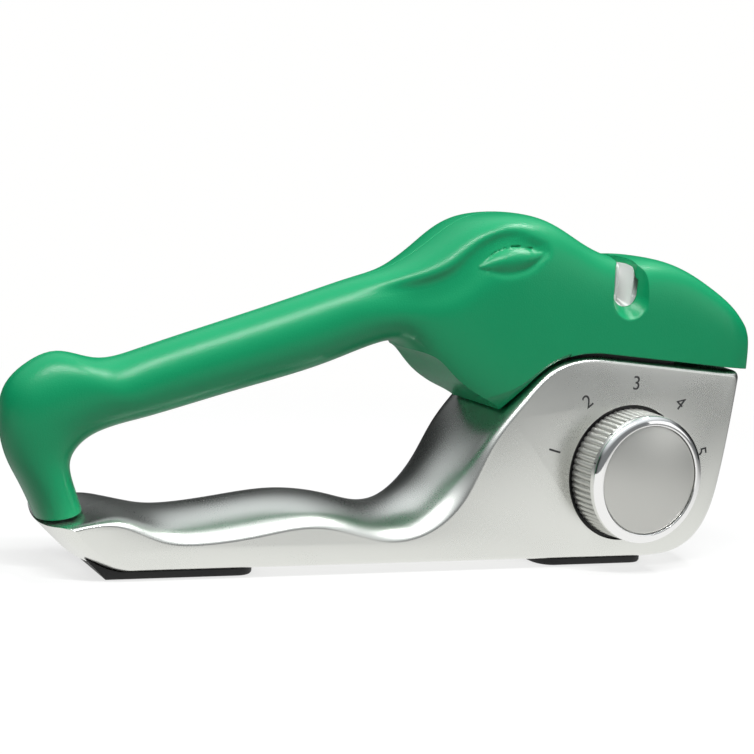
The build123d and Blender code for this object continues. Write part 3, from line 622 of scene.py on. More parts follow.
@dataclass
class Base:
    """The silver casing: a waved base and the upright body behind the dial."""

    top_side: Line = (
        (-0.7467, 0.1455), (-0.7150, 0.1600), (-0.6875, 0.1603), (-0.6271, 0.1148),
        (-0.5792, 0.1083), (-0.5125, 0.1259), (-0.4417, 0.1463), (-0.3833, 0.1241),
        (-0.3354, 0.1037), (-0.2833, 0.1315), (-0.2467, 0.2037), (-0.2104, 0.3639),
        (-0.1654, 0.4944), (-0.1292, 0.5750), (-0.0917, 0.6074), (-0.0500, 0.6130))
    top_ridge: Line = (
        (-0.7580, 0.1240), (-0.7200, 0.1400), (-0.6830, 0.1680), (-0.6292, 0.1593),
        (-0.5875, 0.1602), (-0.5167, 0.1815), (-0.4458, 0.1963), (-0.3875, 0.1815),
        (-0.3396, 0.1611), (-0.2938, 0.1815), (-0.2592, 0.2556), (-0.2142, 0.3694),
        (-0.1667, 0.4963), (-0.1292, 0.5750), (-0.0917, 0.6074), (-0.0500, 0.6130))
    front_side: Line = (
        (0.1683, 0.5806), (0.1530, 0.2600), (0.1400, 0.1440), (0.1190, 0.0750), (0.0870, 0.0350))
    front_ridge: Line = (
        (0.1850, 0.5806), (0.1700, 0.2600), (0.1560, 0.1440), (0.1320, 0.0750), (0.0960, 0.0350))
    bow_side: Line = ((-0.6850, 0.0310), (-0.7080, 0.0580), (-0.7310, 0.0990))
    bow_ridge: Line = ((-0.7180, 0.0410), (-0.7325, 0.0690), (-0.7460, 0.0970))
    heel: float = 0.0460
    toe_side: float = -0.6640
    toe_ridge: float = -0.7020
    ground: float = 0.0024
    wall: float = 0.0022
    edge_radius: float = 0.0018
    edge_spread: float = 2.7
    corner: float = 0.0022
    straight: float = 0.002
    parting_rows: tuple[float, ...] = (-0.0006, -0.00035, -0.0002, -0.0001, 0.0)
    well: Point = (-0.0245, 0.0145)
    well_side: float = 0.0172
    well_floor: float = 0.0542
    collar: Point = (-0.0261, 0.0161)
    collar_side: float = 0.0163
    collar_inside: float = 0.0153
    collar_levels: Point = (0.0602, 0.0685)
    # heights between which the collar's faces are painted black as shade in the gap
    gap_shade_levels: Point = (0.058, 0.07)
    recess: float = 0.0215
    recess_floor: Line = (
        (0.0056, -0.018), (0.0235, -0.018), (0.0235, -0.016), (0.0056, -0.016))
    boss: Line = (
        (0.00142, -0.0185), (0.0032, -0.0185), (0.0032, -0.0003), (0.00142, -0.0003))
    rear_boss_end: float = 0.0167
    screws: Line = (
        (-0.6790, 0.0850), (-0.4420, 0.0830), (-0.2500, 0.0800), (-0.1330, 0.3700),
        (0.1125, 0.1250), (0.1375, 0.5000))

    def outline(self, ridge: float, grow: float) -> np.ndarray:
        """The closed outline at one place across the base.

        Args:
            ridge: Zero for the flat side, one for the middle.
            grow: Distance by which the outline is moved outwards.

        Returns:
            Points in X and Z.
        """
        def mix(side: Line, crest: Line) -> np.ndarray:
            """Points between the side outline and the ridge outline."""
            return scaled(side) * (1 - ridge) + scaled(crest) * ridge

        toe_share = self.toe_side + ridge * (self.toe_ridge - self.toe_side)
        soles = [(LENGTH * self.heel, self.ground), (LENGTH * toe_share, self.ground)]
        line = np.vstack([mix(self.top_side, self.top_ridge),
                          mix(self.front_side, self.front_ridge), soles,
                          mix(self.bow_side, self.bow_ridge)])
        steps = np.roll(line, -1, axis=0) - line
        steps /= np.linalg.norm(steps, axis=1)[:, None]
        ahead = np.stack([-steps[:, 1], steps[:, 0]], axis=1)
        behind = np.roll(ahead, 1, axis=0)
        spread = 1 + np.sum(ahead * behind, axis=1)
        line = line + grow * (ahead + behind) / spread[:, None]
        if grow <= -self.wall:
            line[0] = (line[1] + line[-1]) / 2
        tops = len(self.top_side)
        fronts = tops + len(self.front_side)
        top, front = line[:tops], line[tops:fronts + 1]
        level = (front[0] - top[-1]) / np.linalg.norm(front[0] - top[-1])
        top_line = Route(np.vstack([top, top[-1] + level * self.straight])).points(200)
        nose = Route(front)
        dense = nose.points(400)
        past = np.argmax(np.linalg.norm(dense - front[0], axis=1) > self.corner)
        after = nose.at(np.linspace(past / (len(dense) - 1), 1, 80))
        before = front[0] - level * self.corner
        flat = np.linspace(top_line[-1], before, 12)[1:]
        t = np.linspace(0, 1, 9)[1:-1, None]
        bend = before * (1 - t) ** 2 + front[0] * 2 * t * (1 - t) + after[0] * t * t
        under = np.linspace(line[fronts], line[fronts + 1], 40)[1:]
        bow_line = Route(np.vstack([line[fronts + 1:], line[:1]])).points(36)[1:-1]
        return np.vstack([top_line, flat, bend, after, under, bow_line])

    def body(self, name: str, grow: float, lift: float, fillet: float = 0.0) -> Piece:
        """The dial side half as a closed solid.

        Args:
            name: The object's name.
            grow: Distance by which it is moved outwards.
            lift: How far it runs past the parting plane.
            fillet: Radius of the long edges.

        Returns:
            The object.
        """
        half = HALF + grow
        wide = fillet * self.edge_spread
        places = [(-half + wide * (1 - math.cos(a)), fillet * (1 - math.sin(a)))
                  for a in np.linspace(0, math.pi / 2, 13)] if fillet else [(-half, 0.0)]
        across = [*np.linspace(-half + wide, self.parting_rows[0], 22)[1:], *self.parting_rows[1:]]
        if lift:
            across.append(lift)
        rows = []
        for y, inset in places + [(y, 0.0) for y in across]:
            ridge = max(0.0, 1 - (y / HALF) ** 2)
            line = self.outline(ridge, grow - inset)
            line = np.vstack([line, line[:1]])
            rows.append(np.insert(line, 1, y, axis=1))
        return skin(name, np.array(rows))

    def well_tool(self, side: float, low: float) -> Piece:
        """The opening under the guide, from a side and a height up to the parting plane."""
        return block("well", (self.well[0], -side, low), (self.well[1], OVER, 0.2))

    def paint_gap_shade(self, piece: Piece) -> None:
        """Gives the collar's faces the black finish as painted shade, for the dark gap under the
        handle where the collar shows.

        Args:
            piece: The half with the collar.
        """
        piece.data.materials.append(material(Finishes.BLACK))
        left, right = self.collar[0] - 0.0002, self.collar[1] + 0.0002
        low, high = self.gap_shade_levels
        for face in piece.data.polygons:
            x, y, z = face.center
            if left < x < right and abs(y) < self.collar_side + 0.00005 and low < z < high:
                face.material_index = 1

    def build(self) -> None:
        """Builds and mounts both halves."""
        front = self.body("base_front", 0.0, 0.0, self.edge_radius)
        combine(front, self.body("hollow", -self.wall, OVER),
                self.well_tool(self.well_side, self.well_floor))
        collar = block("collar", (self.collar[0], -self.collar_side, self.collar_levels[0]),
                       (self.collar[1], 0.0, self.collar_levels[1]))
        combine(collar, self.well_tool(self.collar_inside, 0.05))
        combine(front, collar, operation="UNION")
        rear = mirrored(front, "base_rear")
        combine(front, round_bar("recess", 0, DIAL_Z, self.recess, -0.021, -0.018, 160))
        floor = turned("recess_floor", self.recess_floor, 0, DIAL_Z, 96)
        bosses = []
        for x, z in scaled(self.screws):
            bosses.append(turned("boss", self.boss, x, z, 24))
            combine(rear, round_bar("sink", x, z, SINK, 0.0168, 0.021, 48))
        rear_bosses = [mirrored(boss, "boss") for boss in bosses]
        for boss in rear_bosses:
            for vertex in boss.data.vertices:
                vertex.co.y = min(vertex.co.y, self.rear_boss_end)
        front = join([front, floor] + bosses, "base_front")
        rear = join([rear] + rear_bosses, "base_rear")
        finish_piece(front, Finishes.SILVER, "root", "base_shell_front")
        finish_piece(rear, Finishes.SILVER, "root", "base_shell_rear")
        # the collar's faces are painted black as shade in the gap under the handle
        self.paint_gap_shade(front)
        self.paint_gap_shade(rear)


@dataclass
class Handle:
    """The green casing: the loop grip, the head with its thumb rests and the knife slot."""

    stations: Rows = (
        (-0.7570, 0.1220, -0.7010, 0.1220, 0.490, 0.58, 0.58),
        (-0.7805, 0.2222, -0.7160, 0.2083, 0.495, 0.58, 0.58),
        (-0.7985, 0.2963, -0.7242, 0.2731, 0.500, 0.58, 0.58),
        (-0.8078, 0.3843, -0.7175, 0.3148, 0.520, 0.58, 0.58),
        (-0.8033, 0.4676, -0.7042, 0.3426, 0.540, 0.58, 0.58),
        (-0.7800, 0.5278, -0.6875, 0.3620, 0.550, 0.58, 0.58),
        (-0.7433, 0.5620, -0.6667, 0.3778, 0.540, 0.58, 0.58),
        (-0.6992, 0.5472, -0.6475, 0.3898, 0.515, 0.58, 0.58),
        (-0.6521, 0.5704, -0.6250, 0.4037, 0.495, 0.58, 0.58),
        (-0.5546, 0.6481, -0.5271, 0.4704, 0.495, 0.58, 0.58),
        (-0.4329, 0.7454, -0.4042, 0.5574, 0.510, 0.58, 0.58),
        (-0.3700, 0.7944, -0.3438, 0.6111, 0.560, 0.62, 0.62),
        (-0.3250, 0.8324, -0.3125, 0.6100, 0.650, 0.70, 0.70),
        (-0.2833, 0.8944, -0.2850, 0.5400, 0.815, 0.78, 0.80),
        (-0.2396, 0.9648, -0.2396, 0.4500, 0.950, 0.84, 0.90),
        (-0.1917, 0.9940, -0.1938, 0.3900, 1.000, 0.88, 0.94),
        (-0.1333, 0.9885, -0.1417, 0.3800, 1.000, 0.88, 0.94),
        (-0.0750, 0.9300, -0.0750, 0.4200, 1.000, 0.90, 0.94),
        (-0.0250, 0.8965, -0.0250, 0.4600, 1.000, 0.94, 0.94),
        (0.0250, 0.8980, 0.0250, 0.4700, 1.000, 0.94, 0.94),
        (0.0750, 0.8795, 0.0750, 0.4700, 1.000, 0.94, 0.94),
        (0.1208, 0.8333, 0.1208, 0.4700, 1.000, 0.94, 0.94),
        (0.1563, 0.7852, 0.1563, 0.4700, 0.970, 0.94, 0.94),
        (0.1792, 0.7463, 0.1792, 0.4700, 0.870, 0.92, 0.92),
        (0.1942, 0.7074, 0.1942, 0.4800, 0.700, 0.90, 0.90),
        (0.2013, 0.6667, 0.2013, 0.4900, 0.475, 0.88, 0.88))
    wall: float = 0.0024
    casing_gap: float = 0.0010
    parting_depth: float = 0.00022
    parting_width: float = 0.00016
    belly_floor: Line = (
        (-0.3667, 0.5556), (-0.3333, 0.5981), (-0.3083, 0.6037), (-0.2833, 0.5870),
        (-0.2683, 0.5583), (-0.2488, 0.5213), (-0.2296, 0.4954), (-0.2108, 0.4750),
        (-0.1917, 0.4537), (-0.1750, 0.4167))
    belly_edge: Line = (
        (-0.3500, 0.6620), (-0.3200, 0.6352), (-0.2900, 0.5824), (-0.2579, 0.5343),
        (-0.2217, 0.5102), (-0.1867, 0.5176), (-0.1575, 0.5537), (-0.1300, 0.5963),
        (-0.1042, 0.6204))
    belly_slope: float = 1.3
    belly_depth: float = 0.008
    crease: Line = (
        (-0.0960, 0.0795), (-0.0836, 0.0819), (-0.0717, 0.0845), (-0.0629, 0.0896),
        (-0.0572, 0.0950), (-0.0513, 0.0985), (-0.0440, 0.1000), (-0.0362, 0.0978))
    crease_ends: Point = (0.45, 0.25)
    groove_depth: float = 0.0025
    groove_reach: float = 0.0050
    groove_steeper: float = 0.0026
    crest_height: float = 0.0009
    crest_gap: float = 0.0048
    crest_reach: float = 0.0028
    eye_upper: Line = (
        (-0.0584, 0.0911), (-0.0540, 0.0952), (-0.0482, 0.0978), (-0.0425, 0.0980),
        (-0.0365, 0.0969))
    eye_lower: Line = (
        (-0.0584, 0.0911), (-0.0540, 0.0903), (-0.0488, 0.0902), (-0.0436, 0.0915),
        (-0.0394, 0.0940), (-0.0365, 0.0969))
    eye_sink: Point = (0.0007, 0.0014)
    eye_swell: float = 0.0003
    eye_reach: Point = (0.0013, 0.0014)
    eye_end: Point = (-0.0330, 0.0080)
    deepest: float = 0.0019
    funnel: Rows = (
        (-0.0010, 0.0076, 0.0772), (0.0, 0.0070, 0.0778), (0.0002, 0.00665, 0.0781),
        (0.0005, 0.00645, 0.0784), (0.0010, 0.0063, 0.0788), (0.0020, 0.0059, 0.0796),
        (0.0030, 0.0053, 0.0805), (0.0040, 0.0045, 0.0815), (0.0050, 0.0036, 0.0826))
    passage: float = 0.0038
    passage_low: float = 0.08576
    guide_end: float = 0.0153
    lip_half: float = 0.009
    lip_low: float = 0.0756
    lip_back: float = -0.0158
    fine_zone: Point = (-0.100, -0.03)
    edge_steps: tuple[float, ...] = (0, 0.002, 0.004, 0.007, 0.012, 0.02, 0.035)
    screws: Rows = (
        (-0.7300, 0.4400, 0.54), (-0.5408, 0.5593, 0.49), (-0.3569, 0.7028, 0.56),
        (-0.1667, 0.8150, 1.0), (0.1250, 0.7000, 1.0))

    def crease_depth(self, x: np.ndarray, z: np.ndarray) -> tuple[np.ndarray, np.ndarray]:
        """The groove along the brow and the crest above it.

        Args:
            x: Places along the body.
            z: Heights.

        Returns:
            The groove's depth and the crest's height.
        """
        gap, share, level = nearest(x, z, Route(self.crease).points(90))
        ends = (np.clip(share / self.crease_ends[0], 0, 1)
                * np.clip((1 - share) / self.crease_ends[1], 0, 1))
        fade = ends * ends * (3 - 2 * ends)
        above = 0.5 + 0.5 * (z - level) / np.maximum(gap, 1e-6)
        reach = self.groove_reach - self.groove_steeper * above
        groove = self.groove_depth * fade * np.exp(-(gap / reach) ** 2)
        bump = np.exp(-((gap - self.crest_gap) / self.crest_reach) ** 2)
        return groove, self.crest_height * fade * above ** 2 * bump

    def thumb_depth(self, x: np.ndarray, z: np.ndarray) -> np.ndarray:
        """How deep the thumb rest goes into the side of the head.

        Args:
            x: Places along the body.
            z: Heights.

        Returns:
            Depths in metres, negative where the surface swells.
        """
        groove, crest = self.crease_depth(x, z)
        upper = Route(self.eye_upper).points(90)
        lower = Route(self.eye_lower).points(90)
        gap = nearest(x, z, np.vstack([upper, lower[::-1][1:]]))[0]
        high = np.interp(x, upper[:, 0], upper[:, 1])
        low = np.interp(x, lower[:, 0], lower[:, 1])
        inside = (high > z) & (z > low)
        tip = np.clip((self.eye_end[0] - x) / self.eye_end[1], 0.0, 1)
        side = np.clip(0.5 + (z - (high + low) / 2) / np.maximum(high - low, 0.0050), 0, 1)
        edge = (self.eye_sink[0] + self.eye_sink[1] * side) * (0.25 + 0.75 * tip)
        level = np.clip((z - low) / np.maximum(high - low, 0.0001), 0, 1)
        swell = 4 * level * (1 - level) * np.clip((high - low) / 0.0060, 0, 1)
        within = edge * (1 - swell) - self.eye_swell * swell
        reach = self.eye_reach[0] + self.eye_reach[1] * side
        outside = edge * np.clip(tip * 3, 0, 1) * np.exp(-(gap / reach) ** 2)
        both = np.cbrt(groove ** 3 + outside ** 3)
        hollowed = self.deepest * np.tanh(both / self.deepest)
        return np.where(inside, within, hollowed - crest)

    def half(self, name: str, shrink: float, lift: float, count: int, around: int, stations: int,
             thumb: bool) -> Piece:
        """The dial side half as a closed solid.

        Args:
            name: The object's name.
            shrink: Distance by which it is moved inwards.
            lift: How far it runs past the parting plane.
            count: Sections along the handle.
            around: Points along each quarter of a section.
            stations: How many stations it follows.
            thumb: Whether it has the thumb rest and the parting groove.

        Returns:
            The object.
        """
        rows = []
        for outer_x, outer_z, inner_x, inner_z, width, upper, lower in self.stations[:stations]:
            outer = np.array((outer_x * LENGTH, outer_z * HEIGHT))
            inner = np.array((inner_x * LENGTH, inner_z * HEIGHT))
            middle = (outer + inner) / 2
            rows.append((*middle, *(outer - inner), width * HALF, upper, lower))
        route = Route(rows)
        even = np.linspace(0, 1, 2000)
        path = route.at(even)
        fine = (path[:, 0] > self.fine_zone[0]) & (path[:, 0] < self.fine_zone[1])
        dense = 1.0 + 3.0 * fine * float(thumb)
        gone = np.cumsum(dense)
        places = np.interp(np.linspace(gone[0], gone[-1], count), gone, even)
        path = route.at(places)
        rise = path[:, 2:4]
        length = np.linalg.norm(rise, axis=1)
        up = rise / length[:, None]
        h = (length / 2 - shrink)[:, None]
        w = (path[:, 4] - shrink)[:, None]
        upper, lower = path[:, 5:6], path[:, 6:7]
        t = np.concatenate([self.edge_steps, np.linspace(0.06, 1, around)])[None, :]
        b0, b1, b2, b3 = (1 - t) ** 3, 3 * t * (1 - t) ** 2, 3 * t * t * (1 - t), t ** 3
        low_y = -(b1 * lower * w + b2 * w + b3 * w)
        low_r = -(b0 * h + b1 * h + b2 * lower * h)
        high_y = -(b1 * upper * w + b2 * w + b3 * w)
        high_r = b0 * h + b1 * h + b2 * upper * h
        y = np.hstack([low_y, high_y[:, ::-1][:, 1:]])
        r = np.hstack([low_r, high_r[:, ::-1][:, 1:]])
        if thumb:
            groove = self.parting_depth * np.exp(-(y / self.parting_width) ** 2)
            r = r - np.sign(r) * groove
        x = path[:, 0:1] + up[:, 0:1] * r
        z = path[:, 1:2] + up[:, 1:2] * r
        if thumb:
            facing = np.clip(-y / 0.009, 0, 1) ** 2
            y = np.maximum(y + self.thumb_depth(x, z) * facing, -HALF - 0.00004)
        flat = np.linspace(0, 1, 12)[None, :, None]
        points = np.stack([x, y, z], axis=-1)
        start, end = points[:, -1:, :], points[:, :1, :]
        if lift:
            start = start + np.array((0, lift, 0))
            end = end + np.array((0, lift, 0))
            closing = [start + (end - start) * flat, points[:, :1, :]]
        else:
            closing = [start + (end - start) * flat[:, 1:]]
        return skin(name, np.concatenate([points, *closing], axis=1))

    def belly(self, inset: float) -> list[Piece]:
        """What is taken off under the belly.

        Args:
            inset: How far it is moved into the handle.

        Returns:
            The tools.
        """
        floor = Route(scaled(self.belly_floor)).points(60) + (0, inset)
        region = np.vstack([floor, (floor[-1, 0], -0.01), (floor[0, 0], -0.01)])
        tools = [prism("belly_floor", region, -0.04, OVER)]
        outlines = []
        for depth in (-OVER, self.belly_depth + inset):
            drop = depth * self.belly_slope - inset
            edge = Route(scaled(self.belly_edge)).points(80) - (0, drop)
            outlines.append(np.vstack([edge, (edge[-1, 0], -0.1), (edge[0, 0], -0.1)]))
        tools.append(prism("belly_edge", outlines[0], -HALF - OVER,
                           self.belly_depth + inset - HALF, outlines[1]))
        return tools

    def slot(self) -> list[Piece]:
        """The funnel in the dial side and the passage over the guide.

        Returns:
            The tools.
        """
        rows = []
        for depth, radius, low in self.funnel:
            turn = np.linspace(math.pi, 2 * math.pi, 49)
            arc = np.stack([SLOT_X + radius * np.cos(turn), low + radius * (1 + np.sin(turn))],
                           axis=1)
            line = np.vstack([arc, (SLOT_X + radius, 0.15), (SLOT_X - radius, 0.15), arc[:1]])
            rows.append(np.insert(line, 1, depth - HALF, axis=1))
        passage = block("passage", (SLOT_X - self.passage, -self.guide_end, self.passage_low),
                        (SLOT_X + self.passage, OVER, 0.15))
        return [skin("funnel", np.array(rows)), passage]

    def seat(self, base: Base) -> Piece:
        """The room over the base's flat top.

        Args:
            base: The base that the handle stands on.

        Returns:
            The tool.
        """
        start, end = scaled([base.top_side[-1], base.front_side[0]])
        fall = (end[1] - start[1]) / (end[0] - start[0])
        high = start[1] + self.casing_gap
        far = 0.12
        corners = [(start[0], high), (far, high + fall * (far - start[0])), (far, 0), (start[0], 0)]
        return prism("seat", np.array(corners), -2 * HALF, 2 * HALF)

    def build(self, base: Base) -> None:
        """Builds and mounts both halves.

        Args:
            base: The base that the handle stands on.
        """
        front = self.half("handle_front", shrink=0.00003, lift=0.0, count=380, around=84,
                          stations=26, thumb=True)
        hollow = self.half("hollow", shrink=self.wall, lift=OVER, count=130, around=14,
                           stations=24, thumb=False)
        lip = block("lip", (SLOT_X - self.lip_half, -0.03, self.lip_low),
                    (SLOT_X + self.lip_half, self.lip_back, 0.12))
        combine(hollow, *self.belly(self.wall), lip)
        combine(front, hollow, *self.belly(0.0), *self.slot(),
                base.body("room", self.casing_gap, OVER), self.seat(base))
        rear = mirrored(front, "handle_rear")
        for x, z, width in self.screws:
            combine(rear, round_bar("sink", x * LENGTH, z * HEIGHT, SINK,
                                    width * HALF - 0.0032, 0.022, 48))
        finish_piece(front, Finishes.GREEN, "root", "handle_shell_front")
        finish_piece(rear, Finishes.GREEN, "root", "handle_shell_rear")


@dataclass
class Dial:
    """The knurled knob with its chrome bezel and flat cap."""

    flutes: int = 66
    radius: float = 0.0204
    rim_radius: float = 0.0200
    back: float = -0.0190
    front: float = -0.0294
    face: float = -0.0326
    flute_depth: float = 0.0008
    land: float = 0.0170
    cup_radius: float = 0.0150
    cup_floor: float = 0.0022

    def knob(self) -> Piece:
        """The knob: rounded ribs round a cup.

        Returns:
            The object.
        """
        per = 10
        turn = np.linspace(0, 2 * math.pi, self.flutes * per + 1)
        across = np.abs(((np.arange(len(turn)) % per) / per) * 2 - 1)
        rib = 1 - np.sqrt(1 - (0.985 * across) ** 2)
        floor = self.front + self.cup_floor
        rings = [(self.radius - 0.0014, self.back, 0.0),
                 (self.radius - 0.0007, self.back - 0.0001, 0.5),
                 (self.radius - 0.0001, self.back - 0.0006, 0.9),
                 (self.radius, self.back - 0.0014, 1.0)]
        rings += [(self.radius + (self.rim_radius - self.radius) * s,
                   self.back + (self.front - self.back) * s, 1.0)
                  for s in np.linspace(0.2, 0.94, 7)]
        rings += [(self.rim_radius - 0.00005, self.front + 0.0002, 0.8),
                  (self.rim_radius - 0.0006, self.front, 0.0),
                  (self.cup_radius, self.front, 0.0), (self.cup_radius, floor, 0.0),
                  (0.0163, floor, 0.0), (0.0168, self.back, 0.0),
                  (self.radius - 0.0014, self.back, 0.0)]
        rows = []
        for radius, y, depth in rings:
            reach = radius - self.flute_depth * depth * rib
            rows.append(np.stack([reach * np.sin(turn), np.full(len(turn), y),
                                  DIAL_Z + reach * np.cos(turn)], axis=1))
        outer, inner = self.front + 0.0001, self.back - 0.0002
        profile = [(0.0029, outer), (0.0152, outer), (0.0152, floor), (0.0070, floor),
                   (0.0070, inner), (0.00402, inner), (0.00402, floor), (0.0015, floor),
                   (0.0015, self.front + 0.0011), (0.0029, self.front + 0.0011)]
        return join([skin("knob", np.array(rows)), turned("web", profile, 0, DIAL_Z, 96)], "knob")

    def bezel(self) -> Piece:
        """The rounded ring over the knob's rim.

        Returns:
            The object.
        """
        out, back, seat = self.rim_radius, self.front - 0.00005, self.face + 0.00205
        curve = [(out - 0.0026 + 0.0026 * math.cos(a), self.face + 0.0021 - 0.0021 * math.sin(a))
                 for a in np.linspace(0, math.pi / 2, 12)]
        inside = [(self.land + 0.00025, self.face), (self.land, self.face + 0.0002),
                  (self.land, seat), (self.land - 0.0018, seat), (self.land - 0.0018, back)]
        return turned("bezel", [(out, back)] + curve + inside, 0, DIAL_Z, 192)

    def cap(self) -> Piece:
        """The flat cap inside the bezel.

        Returns:
            The object.
        """
        edge, top, middle = self.land - 0.00015, self.face + 0.00045, 0.00001
        profile = [(middle, top), (edge - 0.0003, top), (edge - 0.0001, top + 0.0001),
                   (edge, top + 0.0003), (edge, top + 0.0016), (middle, top + 0.0016)]
        return turned("cap", profile, 0, DIAL_Z, 160)

    def build(self) -> None:
        """Builds and mounts the knob, the bezel and the cap."""
        finish_piece(self.knob(), Finishes.KNOB, "dial", "dial_knob", angle=50)
        finish_piece(self.bezel(), Finishes.CHROME, "dial", "dial_bezel", angle=40)
        finish_piece(self.cap(), Finishes.CAP, "dial", "dial_cap", angle=40)


@dataclass
class Guide:
    """The white guide under the knife slot."""

    half: float = 0.0153
    wide: float = 0.0085
    low: float = 0.0808
    cheek_top: float = 0.0850
    shoulder: float = 0.0934
    shoulder_inset: float = 0.0026
    top: float = 0.0952
    rail: float = 0.00365
    rail_rise: float = 0.0046
    rounding: float = 0.0008
    drum_room: tuple[float, ...] = (0.07152, 0.01875, -0.0087, 0.0123)
    flare_mouth: float = 0.0030
    flare_throat: float = 0.0004
    flare_sides: Point = (-0.0158, -0.0093)
    flare_floor: Point = (0.0818, 0.0842)
    slit: Line = ((0.0006, 0.0816), (0.0009, 0.0912), (0.0014, 0.0945), (0.0018, 0.11))

    def rails(self) -> Piece:
        """The two arched rails beside the slit, still in one.

        Returns:
            The object.
        """
        turn = np.linspace(0, math.pi, 33)
        arch = np.stack([self.rail * np.cos(turn),
                         self.top - self.rail_rise + self.rail_rise * np.sin(turn) ** 0.8], axis=1)
        arch = np.vstack([(self.rail, self.low), arch, (-self.rail, self.low)]) + (SLOT_X, 0)
        rails = prism("rails", arch, -self.half, self.half)
        hold(rails)
        rounding = rails.modifiers.new("rounding", "BEVEL")
        rounding.limit_method = "ANGLE"
        rounding.width = self.rounding
        rounding.segments = 4
        bpy.ops.object.modifier_apply(modifier=rounding.name)
        return rails

    def flare(self) -> Piece:
        """The narrowing way into the slit from the dial side.

        Returns:
            The tool.
        """
        outer, inner = self.flare_sides
        flare = block("flare", (SLOT_X - self.flare_mouth, outer, self.flare_floor[0]),
                      (SLOT_X + self.flare_mouth, inner, 0.12))
        for vertex in flare.data.vertices:
            if vertex.co.y > (outer + inner) / 2:
                vertex.co.x = SLOT_X + math.copysign(self.flare_throat, vertex.co.x - SLOT_X)
                vertex.co.z = max(vertex.co.z, self.flare_floor[1])
        return flare

    def build(self) -> None:
        """Builds and mounts the guide."""
        body = block("guide", (SLOT_X - self.wide, -self.half, self.low),
                     (SLOT_X + self.wide, self.half, self.shoulder))
        for vertex in body.data.vertices:
            if vertex.co.z > self.cheek_top:
                vertex.co.y *= (self.half - self.shoulder_inset) / self.half
        cheeks = block("cheeks", (SLOT_X - self.wide, -self.half, self.low),
                       (SLOT_X + self.wide, self.half, self.cheek_top))
        combine(body, cheeks, self.rails(), operation="UNION")
        slit = np.array(self.slit)
        slit = np.vstack([slit[:1] * (-1, 1), slit, slit[:0:-1] * (-1, 1)])
        near, far = self.flare(), self.flare()
        reflect(far)
        combine(body, round_bar("drum_room", SLOT_X, *self.drum_room, 96),
                prism("slit", slit + (SLOT_X, 0), -HALF, HALF), near, far)
        finish_piece(body, Finishes.WHITE, "root", "slot_guide")


@dataclass
class Pad:
    """One rubber foot pad."""

    node: str
    x_low: float
    x_high: float
    top: float
    width: float = 0.034
    toe: float = 0.0
    toe_rise: float = 0.0072
    corner: float = 0.006
    rings: Line = (
        (0.0050, 0.0), (0.0008, 0.0), (0.0003, 0.00015), (0.0, 0.0006))

    def outline(self, inset: float) -> list[Point]:
        """A rounded rectangle in plan.

        Args:
            inset: How far it is set in.

        Returns:
            Points in X and Y.
        """
        radius = self.corner - inset
        middle = (self.x_low + self.x_high) / 2
        side = self.width / 2
        points = []
        for k, (x, y) in enumerate([(self.x_high, side), (self.x_low, side), (self.x_low, -side),
                                    (self.x_high, -side)]):
            cx = x - math.copysign(self.corner, x - middle)
            cy = y - math.copysign(self.corner, y)
            points += [(cx + radius * math.cos(a), cy + radius * math.sin(a))
                       for a in np.linspace(k * math.pi / 2, (k + 1) * math.pi / 2, 12)]
        return points

    def build(self, base: Base) -> None:
        """Builds and mounts the pad.

        Args:
            base: The base that the pad is fixed under.
        """
        rows = np.array([[(x, y, z) for x, y in self.outline(inset)]
                         for inset, z in self.rings + ((0.0, self.top),)])
        piece = skin(self.node + "_piece", np.concatenate([rows, rows[:, :1]], axis=1))
        room = base.body("room", 0.00015, OVER)
        other = mirrored(room, "room_rear")
        combine(piece, room, other)
        if self.toe:
            low, high, rise = self.x_low - OVER, self.x_low + self.toe, self.toe_rise
            wedge = [(low, -OVER), (high, -OVER), (high, 0), (high - rise, rise), (low, rise)]
            combine(piece, prism("wedge", np.array(wedge), -HALF - OVER, HALF + OVER))
        finish_piece(piece, Finishes.RUBBER, "root", self.node)


@dataclass
class Numbers:
    """Plain numbers for the five stops round the dial."""

    radius: float = 0.0282
    size: float = 0.0062
    step: float = 38.0
    proud: float = 0.00002
    thick: float = 0.00003

    def build(self) -> None:
        """Builds and mounts the numbers."""
        for stop in range(5):
            turn = math.radians((stop - 2) * self.step)
            clear_selection()
            bpy.ops.object.text_add(location=(
                self.radius * math.sin(turn), -HALF - self.proud,
                DIAL_Z + self.radius * math.cos(turn)))
            text = bpy.context.object
            text.data.body = str(stop + 1)
            text.data.size = self.size
            text.data.align_x = "CENTER"
            text.data.align_y = "CENTER"
            text.data.extrude = self.thick
            upright = Matrix.Rotation(math.pi / 2, 3, "X")
            text.rotation_euler = (Matrix.Rotation(turn, 3, "Y") @ upright).to_euler()
            bpy.ops.object.convert(target="MESH")
            bpy.ops.object.transform_apply(location=True, rotation=True, scale=True)
            text.name = "number_%d" % (stop + 1)
            finish_piece(text, Finishes.PRINT, "root")


